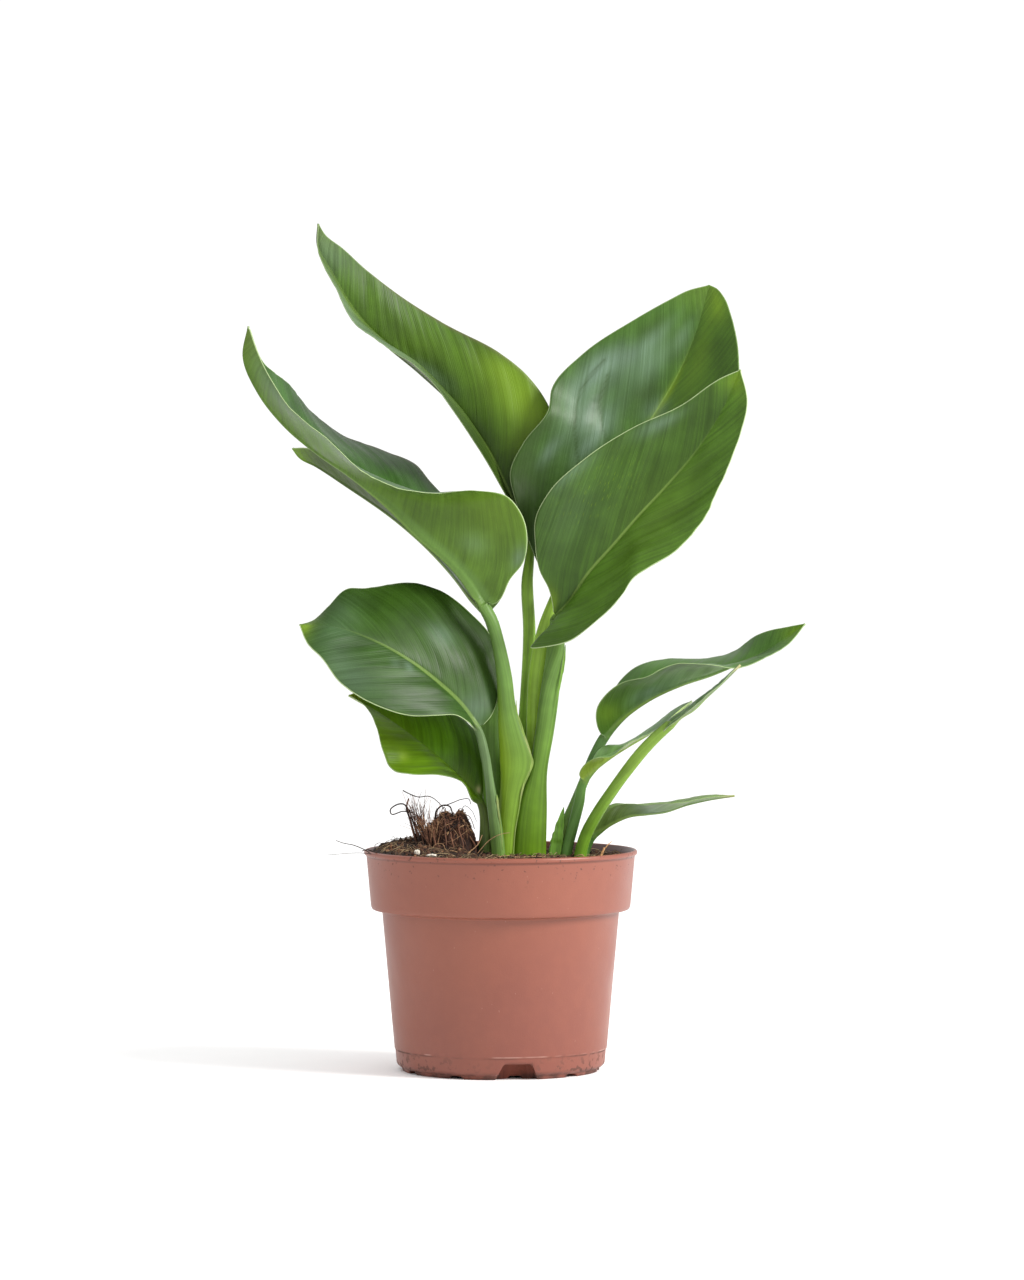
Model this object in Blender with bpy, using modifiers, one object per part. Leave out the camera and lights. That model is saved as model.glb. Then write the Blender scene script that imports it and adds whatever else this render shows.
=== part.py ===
"""A potted bird of paradise: eleven leaves of three shoots, standing in soil in a plastic nursery pot.

The plant is young, so it has no trunk: each leaf is one blade on its own stalk, and the stalks stand
side by side in plain holes in the soil. The origin is the centre of the pot's underside, +Z is up and
-Y is the front. Sizes are in millimetres, and MM turns them into metres.
"""

import math

import bmesh
import bpy
import numpy as np

MM = 0.001
GAP = 0.3

# The pot: half a section, as radius and height.
RIM_HEIGHT = 113.0
RIM_RADIUS = 70.0
FLOOR_THICKNESS = 2.5
FOOT_RADIUS = 50.4
POT_STEPS = 48
POT_OUTSIDE = [
    (RIM_RADIUS - 0.7, RIM_HEIGHT),
    (RIM_RADIUS, RIM_HEIGHT - 0.7),
    (RIM_RADIUS, 110.9),
    (68.8, 110.2),
    (66.5, 84.2),
    (65.8, 82.6),
    (60.8, 82.0),
    (54.5, 11.3),
    (54.0, 10.8),
    (53.4, 3.6),
    (51.8, 2.1),
    (FOOT_RADIUS + 0.4, 2.0),
    (FOOT_RADIUS, 0.0),
]
POT_INSIDE = [
    (40.0, FLOOR_THICKNESS),
    (42.5, 10.6),
    (53.1, 13.0),
    (59.3, 82.4),
    (63.9, 84.0),
    (65.1, 85.4),
    (67.4, 110.2),
    (RIM_RADIUS - 1.8, RIM_HEIGHT - 0.6),
]

# The drainage under the pot: shallow channels between the feet, two of them ending in a tall notch.
CHANNELS = 10
FIRST_CHANNEL = math.radians(-80.6)
CHANNEL_WIDTH = 8.0
CHANNEL_HEIGHT = 1.6
CHANNEL_START = 24.0
HOLE_RADIUS = 3.5
HOLE_DISTANCE = 33.0
NOTCH_HEIGHT = 8.2
NOTCH_TOP_WIDTH = 13.0
NOTCH_FOOT_WIDTH = 19.5
NOTCH_START = 45.0

# The soil: its level at the wall, a mound at the left and a lower one round the stalks.
SOIL_LEVEL = 107.6
SOIL_RINGS = [56.0, 43.0, 30.0, 17.0]
HOLE_FLOOR = 88.0
HOLE_SIDES = 16

# The knot of old roots that stands out of the soil left of the leaves.
CLUMP_CENTRE = (-27.5, -6.0)
CLUMP_HALF = (15.5, 9.0)
CLUMP_FLOOR = 104.0
CLUMP_SIDES = 20
ROOT_SIDES = 4
ROOT_SAMPLES = 7
ROOTS = [
    [(-41, -6, 110), (-43.5, -7, 120), (-48, -7, 131), (-46.5, -6, 138)],
    [(-40, -9, 109), (-41, -12, 117), (-46, -13, 126), (-51, -12, 131)],
    [(-38, -3, 110), (-40, 0, 119), (-44.5, 2, 128), (-53, 1, 133.5)],
    [(-37, -10, 109), (-37, -14, 117), (-40.5, -16, 126), (-38, -15, 134)],
    [(-33, -8, 110), (-34.5, -11, 120), (-33, -13, 130), (-29, -12, 137)],
    [(-31, 0, 111), (-33, 4, 120), (-31, 6, 130), (-35, 7, 136)],
    [(-24, -11, 110), (-25, -16, 116), (-21, -18, 123), (-17, -16, 127)],
    [(-29, -12, 110), (-31, -17, 115), (-29, -20, 122), (-24, -19, 128)],
    [(-19, -10, 110), (-18, -15, 114), (-14, -18.5, 118), (-9, -19.5, 119)],
    [(-37, -9, 112), (-41, -14, 117), (-48, -18, 119), (-55, -19, 118.5)],
    [(-22, -2, 118), (-24, 3, 126), (-21, 6, 133), (-16, 7, 137)],
    [(-27, -7, 118), (-29, -9, 128), (-25, -9, 136), (-19, -7, 139)],
]

# The leaves. Each stalk is a list of x, y, z, half width and half depth, from the floor of its hole.
# The rib runs from the stalk to the tip. The left and right margins are as seen on the upper face.
BLADE = 0.8
RIB_HALF_WIDTH = 2.2
RIB_DEPTH = 1.4
STATIONS = (6, 14)
FEW_STATIONS = (5, 11)
WAVES = 2.5
LEAVES = {
    "leaf_main_upper_left": dict(
        stations=STATIONS,
        wave=0.8,
        arch=0.05,
        stalk=[
            (9.5, 2.2, HOLE_FLOOR + GAP, 4.4, 2.9),
            (9.5, 2.2, 113, 4.4, 2.9),
            (10.4, 6, 150, 3.8, 2.7),
            (13.2, 9.5, 188, 3.5, 2.6),
            (14.7, 11, 225, 3.3, 2.6),
            (13.6, 11.5, 250, 3.1, 2.5),
        ],
        rib=[(15, 12, 269), (3.5, 14, 296.5), (-9, 18, 321), (-24, 20, 341), (-42, 18, 358), (-60, 14, 373),
             (-75, 9, 389.5), (-86, 4, 408), (-93.5, -1, 423), (-93, -4, 433)],
        left=[(14, 9, 277), (4.5, 5, 291), (-11, -11, 319.5), (-25.5, -22, 339), (-43, -22, 359),
              (-59.5, -18, 371), (-74.5, -14, 383), (-83, -10, 398), (-93.5, -6, 420)],
        right=[(19, 13, 275), (26, 15, 289), (31, 17, 309), (29, 20, 329), (23, 23, 344), (12, 24, 358),
               (0, 24, 367.5), (-30, 22, 383.5), (-50, 18, 396), (-70, 12, 411), (-81, 6, 421),
               (-90, 0, 428)],
    ),
    "leaf_main_upper_right": dict(
        stations=STATIONS,
        wave=1.2,
        arch=0.06,
        stalk=[
            (18.8, 2, HOLE_FLOOR + GAP, 4.1, 2.9),
            (18.8, 2, 113, 4.1, 2.9),
            (17.4, 1.8, 150, 3.9, 2.7),
            (17, 1.6, 180, 3.8, 2.6),
            (18.4, 1.6, 205, 3.6, 2.5),
            (22.4, 2.4, 226, 3.3, 2.4),
        ],
        rib=[(29, 6, 246), (35, 12, 262), (46, 18, 286), (62.5, 23, 311), (80, 27, 337), (92.5, 30, 358.5),
             (101.5, 33, 380), (108, 34, 403.5)],
        left=[(24.5, 5, 250.5), (19.5, 4, 259), (15, 3, 269), (12, 2.5, 277), (7.5, 2, 292), (5, 3, 305.5),
              (11.5, 6, 321), (24, 11, 338.5), (26, 17, 349.5), (43, 22, 368), (68.5, 26, 385),
              (87, 30, 396)],
        right=[(35, 2, 244), (51, -2, 253.5), (71, -5, 271.5), (97, -4, 297), (113.5, 2, 323),
               (121, 9, 343.5), (122.5, 15, 360.5), (119, 27, 388), (115, 32, 398)],
    ),
    "leaf_main_front_right": dict(
        stations=STATIONS,
        wave=0.8,
        arch=0.05,
        stalk=[
            (16.2, -5, HOLE_FLOOR + GAP, 7.2, 3.1),
            (16.2, -5, 113, 7.2, 3.1),
            (16.6, -5, 135, 7, 3.1),
            (18.5, -5, 150, 5.5, 3),
            (21, -5, 164, 4.4, 2.9),
            (22.7, -5, 182, 4.4, 2.8),
            (24.6, -5, 202, 4.6, 2.7),
            (27.6, -4.5, 218, 4.8, 2.5),
        ],
        rib=[(28, -4, 230.5), (35, -7, 239), (45, -10, 254.5), (58.5, -12, 270), (71, -13, 284.5),
             (83.5, -14, 298), (100, -16, 317.5), (112.5, -20, 337.5), (121.5, -26, 358)],
        left=[(24.5, -8, 247), (20, -10, 256), (17.5, -13, 271), (17.5, -14, 281.5), (24.5, -15, 296),
              (42.5, -15, 313), (68.5, -16, 329.5), (90.5, -18, 339.5), (113, -24, 354.5)],
        right=[(21.5, -14, 223), (15.5, -20, 217), (24, -26, 217.5), (35, -31, 220.5), (49.5, -36, 232.5),
               (59.5, -38, 243), (66, -38, 252), (75.5, -38, 258), (87, -38, 264.5), (99.5, -37, 277.5),
               (111, -35, 300), (120.5, -32, 322.5), (125, -29, 343)],
    ),
    "leaf_main_left": dict(
        stations=STATIONS,
        wave=0.8,
        arch=0.05,
        stalk=[
            (2.8, -7, HOLE_FLOOR + GAP, 5.3, 2.8),
            (2.8, -7, 113, 5.3, 2.8),
            (3, -7, 135, 5.4, 2.8),
            (4.4, -7.4, 150, 7.6, 2.8),
            (5.4, -7.8, 160, 9.2, 2.6),
            (4.8, -8, 172, 7.4, 2.6),
            (3, -8.4, 188, 4.9, 2.7),
            (0.4, -9, 205, 4.1, 2.7),
            (-3, -10, 222, 3.6, 2.6),
        ],
        rib=[(-8.5, -11, 238), (-16.5, -12, 249.5), (-27.5, -14, 261), (-42, -16, 273.5), (-57, -18, 288.5),
             (-77, -20, 305), (-93, -22, 316), (-110, -24, 330.5), (-122.5, -25, 346.5), (-130, -25, 365),
             (-127.5, -24, 380)],
        left=[(-2, -13, 240), (5, -17, 252), (11.5, -20, 260.5), (13.5, -23, 271), (11.5, -26, 283),
              (4, -28, 293.5), (-12, -33, 297), (-35.5, -42, 295), (-52.5, -48, 297.5), (-69.5, -52, 306.5),
              (-86, -52, 322.5), (-104, -48, 336.5), (-117, -38, 354.5), (-123, -31, 367)],
        right=[(-15.5, 0, 261.5), (-20, 6, 279.5), (-27, 11, 292), (-36, 15, 301.5), (-43, 18, 309.5),
               (-60, 20, 316.5), (-80, 18, 325), (-96.5, 12, 338.5), (-109.5, 2, 352), (-120, -10, 360.5)],
    ),
    "leaf_main_left_under": dict(
        stations=STATIONS,
        wave=0.6,
        arch=0.05,
        stalk=[
            (0.2, 1.6, HOLE_FLOOR + GAP, 4.1, 2.8),
            (0.2, 1.6, 113, 4.1, 2.8),
            (0.6, 2.6, 150, 3.6, 2.7),
            (1, 5.2, 180, 3.2, 2.6),
            (0, 7.2, 205, 3, 2.5),
            (-3, 8.4, 221, 2.9, 2.4),
        ],
        rib=[(-7.5, 9, 233), (-15.5, 12, 242), (-24.5, 15, 253.5), (-36, 18, 266), (-53.5, 21, 281.5),
             (-80, 24, 300), (-95.5, 25, 310), (-104, 26, 314.5), (-107.5, 25, 319)],
        left=[(-10.5, 4, 240), (-17.5, -1, 249.5), (-27.5, -3, 261.5), (-38.5, -4, 273), (-56.5, -2, 288),
              (-76, 3, 301.5), (-92, 10, 310)],
        right=[(-0.5, 13, 240.5), (2, 18, 248.5), (-3, 26, 261), (-16, 36, 276.5), (-37, 44, 292),
               (-60.5, 46, 304), (-81, 41, 311), (-98, 33, 316.5)],
    ),
    "leaf_left_broad": dict(
        stations=STATIONS,
        wave=0.8,
        arch=0.05,
        stalk=[
            (-0.8, -13.6, HOLE_FLOOR + GAP, 4, 2.5),
            (-0.8, -13.6, 113, 4, 2.5),
            (-2.9, -13.6, 127, 4, 2.4),
            (-4.5, -13.5, 138, 3.3, 2.3),
            (-6.2, -13.3, 150, 2.6, 2.2),
            (-8, -13, 162, 2.4, 2.1),
        ],
        rib=[(-11.5, -13, 175), (-19, -17, 187), (-30.5, -22, 198.5), (-46.5, -27, 211), (-65.5, -31, 221.5),
             (-82.5, -34, 227.5), (-101.5, -38, 229)],
        left=[(-16.5, -18, 179), (-22.5, -24, 182.5), (-32, -32, 183), (-46, -40, 183.5), (-65, -46, 189.5),
              (-80.5, -48, 200.5), (-90.5, -46, 213), (-97, -43, 219)],
        right=[(-5, -9, 182), (-1, -3, 195), (-1, 1, 210), (-4.5, 3, 222.5), (-15.5, 4, 234.5),
               (-29.5, 3, 244.5), (-44.5, 0, 249.5), (-68.5, -8, 247.5), (-78, -13, 247),
               (-87.5, -22, 238), (-95, -31, 231)],
    ),
    "leaf_left_low": dict(
        stations=FEW_STATIONS,
        wave=0.8,
        arch=0.05,
        stalk=[
            (-8.2, -3.2, HOLE_FLOOR + GAP, 3, 2.6),
            (-8.2, -3.2, 113, 3, 2.6),
            (-7.9, -2.6, 122, 2.5, 2.3),
        ],
        rib=[(-10, 1, 136), (-19, 3, 148), (-31, 4, 159.5), (-44, 5, 170), (-59.5, 5, 181), (-78, 3, 192)],
        left=[(-13.5, 0, 137.5), (-19.5, -4, 147), (-31, -9, 152), (-46.5, -12, 152),
              (-54.5, -12, 153.5), (-59.5, -10, 163.5), (-63.5, -6, 177), (-70.5, -1, 187.5)],
        right=[(-8.5, 6, 148.5), (-7.5, 12, 161), (-11.5, 17, 171), (-23.5, 21, 181), (-39, 21, 189),
               (-57, 16, 193), (-70, 9, 194.5)],
    ),
    "leaf_right_tall": dict(
        stations=FEW_STATIONS,
        wave=0.7,
        arch=0.06,
        stalk=[
            (28, 0, HOLE_FLOOR + GAP, 3.5, 2.5),
            (28, 0, 113, 3.5, 2.5),
            (31, 1, 125, 3, 2.4),
            (36, 2.6, 137, 2.6, 2.2),
            (42, 4.4, 150, 2.4, 2.1),
            (47.4, 5.2, 161, 2.3, 2),
        ],
        rib=[(53, 5, 170), (62.5, 4, 180.5), (74.5, 4, 189.2), (93.5, 5, 198), (107.5, 7, 202.4),
             (120.5, 9, 207.5), (133.5, 10, 213), (144.5, 10, 219.5), (156.5, 9, 228.5)],
        left=[(51, 9, 178), (56, 14, 189), (61.5, 18, 199), (72, 22, 207.5), (85.5, 25, 210),
              (103.5, 27, 209.5), (121, 25, 215), (129.5, 21, 221), (149, 13, 227)],
        right=[(50, 1, 175), (49.5, -5, 185), (54, -10, 192.5), (62, -14, 199), (73.5, -17, 202),
               (87, -17, 207.5), (104, -13, 208), (121.5, -5, 207), (134, -1, 210.5), (146.5, 3, 217),
               (153, 7, 224)],
    ),
    "leaf_right_twisted": dict(
        stations=FEW_STATIONS,
        wave=0.6,
        arch=0.05,
        stalk=[
            (34.8, -2.8, HOLE_FLOOR + GAP, 2.7, 2.4),
            (34.8, -2.8, 113, 2.7, 2.4),
            (36.8, -3.8, 125, 2.6, 2.3),
            (39.2, -5, 137, 2.5, 2.2),
        ],
        rib=[(42.4, -6.5, 148), (48, -8, 155), (54.5, -8, 160), (64, -6, 166), (76.5, -3, 173),
             (88, 0, 180), (98, 3, 189)],
        left=[(46, -3, 155), (50.5, 0, 164), (54, 1, 166.5), (61.5, 3, 166.5), (72, 7, 171.5),
              (84, 10, 180.5), (93.5, 8, 187)],
        right=[(40.5, -11, 152), (43, -15, 157), (48.5, -18, 161), (56, -18, 162), (65, -17, 167.5),
               (77.5, -12, 174), (89.5, -5, 183)],
    ),
    "leaf_right_stem": dict(
        stations=FEW_STATIONS,
        wave=0.4,
        arch=0.05,
        stalk=[
            (41.2, -6.4, HOLE_FLOOR + GAP, 3.2, 2.4),
            (41.2, -6.4, 113, 3.2, 2.4),
            (43.6, -8, 121, 3.2, 2.4),
            (49, -11.5, 131.5, 3.2, 2.4),
            (56.6, -16, 143.5, 3, 2.4),
            (64.6, -21, 155, 2.8, 2.3),
            (73.2, -26, 166, 2.5, 2.1),
            (81.5, -29, 174.5, 2.3, 1.9),
        ],
        rib=[(85.5, -29.5, 178), (91, -30, 182.5), (97, -30, 186), (104, -30, 192.5), (112, -29, 199.5), (121.5, -27, 208.5)],
        left=[(85, -25, 179), (86, -20, 180.5), (92, -16, 184.5), (104, -16, 193), (114.5, -22, 201.5)],
        right=[(82.5, -35, 175), (83, -40, 176.5), (90, -43, 182), (102, -43, 191), (112.5, -37, 200)],
    ),
    "leaf_right_low": dict(
        stations=FEW_STATIONS,
        wave=0.6,
        arch=0.05,
        stalk=[
            (42.5, 1.4, HOLE_FLOOR + GAP, 2.8, 2.2),
            (42.5, 1.4, 109, 2.8, 2.2),
        ],
        rib=[(46.5, 2, 119.5), (51, 2, 123), (57.5, 1.5, 127), (66, 1, 130.5), (75, 1, 131.5), (84, 1, 132.5),
             (95, 0.5, 136), (106, 0.5, 138.5), (120, 2, 140.5)],
        left=[(47, 7, 125), (52, 11, 132), (58.5, 13, 136), (68, 14, 135.5), (84, 13, 136.5),
              (97, 11, 139.5), (110, 7, 140.5)],
        right=[(48.5, -3, 125), (54, -8, 133), (60, -10, 137), (67, -11, 137), (74, -12, 135.5),
               (83, -12, 136.5), (95, -9, 138.5), (108, -5, 140)],
    ),
}

# Colours as linear values, with roughness.
TERRACOTTA = ((0.45, 0.155, 0.10), 0.42)
PEAT = ((0.035, 0.020, 0.012), 0.95)
OLD_ROOT = ((0.14, 0.07, 0.035), 0.9)
LEAF_DARK = ((0.035, 0.115, 0.025), 0.38)
LEAF_MID = ((0.065, 0.19, 0.03), 0.4)
LEAF_LIGHT = ((0.13, 0.28, 0.035), 0.42)
LEAF_FINISH = {
    "leaf_main_upper_left": LEAF_LIGHT,
    "leaf_main_upper_right": LEAF_DARK,
    "leaf_main_front_right": LEAF_MID,
    "leaf_main_left": LEAF_MID,
    "leaf_main_left_under": LEAF_MID,
    "leaf_left_broad": LEAF_DARK,
    "leaf_left_low": LEAF_LIGHT,
    "leaf_right_tall": LEAF_MID,
    "leaf_right_twisted": LEAF_DARK,
    "leaf_right_stem": LEAF_LIGHT,
    "leaf_right_low": LEAF_DARK,
}


def clear_scene():
    for obj in list(bpy.data.objects):
        bpy.data.objects.remove(obj, do_unlink=True)


def new_collection(name, in_render=True):
    collection = bpy.data.collections.new(name)
    collection.hide_render = not in_render
    bpy.context.scene.collection.children.link(collection)
    return collection


def plain_material(name, finish):
    colour, roughness = finish
    material = bpy.data.materials.new(name)
    material.use_nodes = True
    shader = material.node_tree.nodes["Principled BSDF"]
    shader.inputs["Base Color"].default_value = (*colour, 1.0)
    shader.inputs["Roughness"].default_value = roughness
    material.diffuse_color = (*colour, 1.0)
    return material


def add_object(name, mesh, collection, finish=None):
    obj = bpy.data.objects.new(name, mesh)
    collection.objects.link(obj)
    if finish:
        mesh.materials.append(plain_material(name, finish))
        mesh.shade_smooth()
        mesh.set_sharp_from_angle(angle=math.radians(40))
    return obj


def mesh_of(name, points_mm, faces):
    mesh = bpy.data.meshes.new(name)
    mesh.from_pydata((np.asarray(points_mm, float) * MM).tolist(), [], faces)
    mesh.update()
    return mesh


def turned(name, profile, collection, finish):
    """A profile of (radius, height) pairs, turned round the Z axis by a Screw modifier."""
    points = [(radius, 0.0, height) for radius, height in profile]
    mesh = bpy.data.meshes.new(name)
    edges = [(i, i + 1) for i in range(len(points) - 1)]
    mesh.from_pydata((np.array(points) * MM).tolist(), edges, [])
    obj = add_object(name, mesh, collection)
    screw = obj.modifiers.new("turn", "SCREW")
    screw.steps = POT_STEPS
    screw.render_steps = POT_STEPS
    screw.use_merge_vertices = True
    screw.merge_threshold = 0.00001
    solid = as_mesh(obj, finish)
    return solid


def as_mesh(obj, finish=None):
    """The object with its modifiers worked into its mesh, and its old mesh removed."""
    graph = bpy.context.evaluated_depsgraph_get()
    mesh = bpy.data.meshes.new_from_object(obj.evaluated_get(graph))
    mesh.name = obj.name
    old = obj.data
    obj.modifiers.clear()
    obj.data = mesh
    bpy.data.meshes.remove(old)
    if finish:
        mesh.materials.clear()
        mesh.materials.append(plain_material(obj.name, finish))
        mesh.shade_smooth()
        mesh.set_sharp_from_angle(angle=math.radians(40))
    return obj


def cutter(name, mesh, collection):
    obj = add_object(name, mesh, collection)
    obj.hide_render = True
    obj.display_type = "WIRE"
    return obj


def cut(obj, cutters):
    boolean = obj.modifiers.new("cut", "BOOLEAN")
    boolean.operation = "DIFFERENCE"
    boolean.operand_type = "COLLECTION"
    boolean.collection = cutters
    return boolean


def prism(name, outline, start, length):
    """The outline of (y, z) pairs, carried along +X from start."""
    count = len(outline)
    near = [(start, y, z) for y, z in outline]
    far = [(start + length, y, z) for y, z in outline]
    faces = [tuple(range(count))[::-1], tuple(range(count, 2 * count))]
    faces += [(i, (i + 1) % count, count + (i + 1) % count, count + i) for i in range(count)]
    return mesh_of(name, near + far, faces)


def oval_prism(name, centre, half, bottom, top, sides):
    """An upright cylinder with an oval section."""
    mesh = bpy.data.meshes.new(name)
    shape = bmesh.new()
    bmesh.ops.create_cone(shape, cap_ends=True, segments=sides, radius1=MM, radius2=MM,
                          depth=(top - bottom) * MM)
    bmesh.ops.scale(shape, verts=shape.verts, vec=(half[0], half[1], 1.0))
    move = (centre[0] * MM, centre[1] * MM, (top + bottom) / 2 * MM)
    bmesh.ops.translate(shape, verts=shape.verts, vec=move)
    shape.to_mesh(mesh)
    shape.free()
    return mesh


def build_pot(parts, cutters):
    profile = POT_OUTSIDE + [(0.0, 0.0), (0.0, FLOOR_THICKNESS)] + POT_INSIDE + POT_OUTSIDE[:1]
    pot = turned("pot", profile, parts, TERRACOTTA)
    half = CHANNEL_WIDTH / 2
    channel = [(-half, -1.0), (half, -1.0), (half - 1.0, CHANNEL_HEIGHT), (1.0 - half, CHANNEL_HEIGHT)]
    foot = NOTCH_FOOT_WIDTH / 2
    top = NOTCH_TOP_WIDTH / 2
    notch = [(-foot - 1.0, -1.0), (foot + 1.0, -1.0), (foot, 2.6), (top + 1.4, NOTCH_HEIGHT - 1.2),
             (top, NOTCH_HEIGHT), (-top, NOTCH_HEIGHT), (-top - 1.4, NOTCH_HEIGHT - 1.2), (-foot, 2.6)]
    for index in range(CHANNELS):
        angle = FIRST_CHANNEL + index * math.tau / CHANNELS
        has_notch = index % (CHANNELS // 2) == 0
        if has_notch:
            mesh = prism(f"notch_{index}", notch, NOTCH_START, 15.0)
            cutter(f"notch_{index}", mesh, cutters).rotation_euler.z = angle
        mesh = prism(f"channel_{index}", channel, CHANNEL_START, NOTCH_START + 1.0 - CHANNEL_START
                     if has_notch else 40.0)
        cutter(f"channel_{index}", mesh, cutters).rotation_euler.z = angle
        place = (HOLE_DISTANCE * math.cos(angle), HOLE_DISTANCE * math.sin(angle))
        hole = oval_prism(f"drain_{index}", place, (HOLE_RADIUS, HOLE_RADIUS), CHANNEL_HEIGHT - 0.4,
                          FLOOR_THICKNESS + 1.0, 12)
        cutter(f"drain_{index}", hole, cutters)
    cut(pot, cutters)
    return as_mesh(pot, TERRACOTTA)


def soil_height(x, y):
    """The soil's top: two soft mounds on a level that falls to the right, and a fine ripple."""
    left = 4.2 * np.exp(-((x + 38.0) ** 2 + (y - 4.0) ** 2) / (2 * 24.0**2))
    middle = 2.2 * np.exp(-((x - 8.0) ** 2 + y**2) / (2 * 26.0**2))
    ripple = 0.5 * np.sin(x / 6.1 + 1.0) * np.cos(y / 5.3) + 0.3 * np.sin((x + y) / 3.7)
    return SOIL_LEVEL + left + middle - 0.012 * x + ripple


def wall_radius(height):
    inside = np.array(POT_INSIDE)
    return float(np.interp(height, inside[:, 1], inside[:, 0]))


def stalk_base(leaf):
    x, y, _, half_width, half_depth = leaf["stalk"][0]
    return (x, y), (half_width, half_depth)


def build_soil(parts, cutters):
    """The pot's inside, drawn in by the gap, closed by the mounded top and cut for each stalk."""
    inside = [(radius - GAP, height + GAP) for radius, height in POT_INSIDE[:6]]
    edge = wall_radius(SOIL_LEVEL) - GAP
    top = [(edge, SOIL_LEVEL), (edge - 3.5, SOIL_LEVEL)]
    top += [(radius, SOIL_LEVEL) for radius in SOIL_RINGS]
    profile = [(0.0, SOIL_LEVEL)] + top[::-1] + inside[::-1] + [(0.0, FLOOR_THICKNESS + GAP)]
    soil = turned("soil", profile, parts, PEAT)
    mesh = soil.data
    points = np.empty(len(mesh.vertices) * 3)
    mesh.vertices.foreach_get("co", points)
    points = points.reshape(-1, 3) / MM
    raised = (points[:, 2] > SOIL_LEVEL - 0.1) & (np.hypot(points[:, 0], points[:, 1]) < edge - 1.0)
    points[raised, 2] = soil_height(points[raised, 0], points[raised, 1])
    mesh.vertices.foreach_set("co", (points * MM).ravel())
    for name, leaf in LEAVES.items():
        centre, half = stalk_base(leaf)
        reach = BLADE / 2 + GAP / math.cos(math.pi / HOLE_SIDES) + 0.12
        wider = (half[0] + reach, half[1] + reach)
        hole = oval_prism(f"hole_{name}", centre, wider, HOLE_FLOOR, RIM_HEIGHT + 8.0, HOLE_SIDES)
        cutter(f"hole_{name}", hole, cutters)
    wider = (CLUMP_HALF[0] + GAP, CLUMP_HALF[1] + GAP)
    hole = oval_prism("hole_roots", CLUMP_CENTRE, wider, CLUMP_FLOOR, RIM_HEIGHT + 8.0, CLUMP_SIDES)
    cutter("hole_roots", hole, cutters)
    cut(soil, cutters)
    return as_mesh(soil, PEAT)


def smooth_curve(points, fractions):
    """A cubic curve through the points, read at fractions of the length of its chords."""
    points = np.asarray(points, float)
    chords = np.linalg.norm(np.diff(points[:, :3], axis=0), axis=1)
    place = np.concatenate([[0.0], np.cumsum(chords)]) / chords.sum()
    slopes = np.diff(points, axis=0) / np.diff(place)[:, None]
    before = np.diff(place)[:-1, None]
    after = np.diff(place)[1:, None]
    inner = (slopes[:-1] * after + slopes[1:] * before) / (before + after)
    tangents = np.concatenate([slopes[:1], inner, slopes[-1:]])
    index = np.clip(np.searchsorted(place, fractions, "right") - 1, 0, len(points) - 2)
    span = (place[index + 1] - place[index])[:, None]
    t = (fractions - place[index])[:, None] / span
    return (
        points[index] * (2 * t**3 - 3 * t**2 + 1)
        + tangents[index] * span * (t**3 - 2 * t**2 + t)
        + points[index + 1] * (3 * t**2 - 2 * t**3)
        + tangents[index + 1] * span * (t**3 - t**2)
    )


def unit(vectors):
    return vectors / np.maximum(np.linalg.norm(vectors, axis=-1, keepdims=True), 1e-9)


def leaf_axis(leaf):
    """Centres, half width and half depth of the sections from the stalk's foot to the leaf's tip, the
    fraction along the blade of each (0 on the stalk), and both margins' points."""
    stalk_stations, blade_stations = leaf["stations"]
    stalk = np.array(leaf["stalk"], float)
    rib = np.array(leaf["rib"], float)
    slim = np.linspace(1.0, 0.2, len(rib))[:, None] * np.array([RIB_HALF_WIDTH, RIB_DEPTH])
    axis = np.concatenate([stalk, np.concatenate([rib, slim], axis=1)])
    chords = np.linalg.norm(np.diff(axis[:, :3], axis=0), axis=1)
    base = chords[: len(stalk)].sum() / chords.sum()
    hole = chords[0] / chords.sum()
    on_stalk = np.concatenate([[0.0], np.linspace(hole, base, stalk_stations)])[:-1]
    even = np.linspace(0.0, 1.0, blade_stations)
    on_blade = even + 0.09 * np.sin(math.pi * even) * np.cos(math.pi * even) * -1.0
    fractions = np.concatenate([on_stalk, base + (1 - base) * on_blade])
    sections = smooth_curve(axis, fractions)
    along = np.concatenate([np.zeros(len(on_stalk)), on_blade])
    margins = []
    for side in ("left", "right"):
        ends = [leaf["rib"][0]] + leaf[side] + [leaf["rib"][-1]]
        edge = smooth_curve(ends, on_blade)
        margins.append(np.concatenate([sections[: len(on_stalk), :3], edge]))
    return sections[:, :3], sections[:, 3], sections[:, 4], along, margins


def smooth_step(value):
    value = np.clip(value, 0.0, 1.0)
    return value * value * (3 - 2 * value)


def across_leaf(centre, along, margins):
    """The direction from left to right at each section, square to the leaf's line: from margin to margin
    on the blade, and turning to the X axis down the stalk."""
    forward = unit(np.gradient(centre, axis=0))
    across = margins[1] - margins[0]
    wide = np.flatnonzero(np.linalg.norm(across, axis=1) > 5.0)
    across = unit(across[np.clip(np.arange(len(centre)), wide[0], wide[-1])])
    on_stalk = along <= 0
    height = centre[:, 2]
    top = height[on_stalk][-1]
    turned = smooth_step((height - HOLE_FLOOR) / (top - HOLE_FLOOR) * 2 - 1)[:, None]
    turned[~on_stalk] = 1.0
    level = np.array([np.sign(across[0, 0]), 0.0, 0.0])
    across = level * (1 - turned) + across * turned
    across = unit(across - forward * np.sum(across * forward, axis=1, keepdims=True))
    return forward, across


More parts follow.
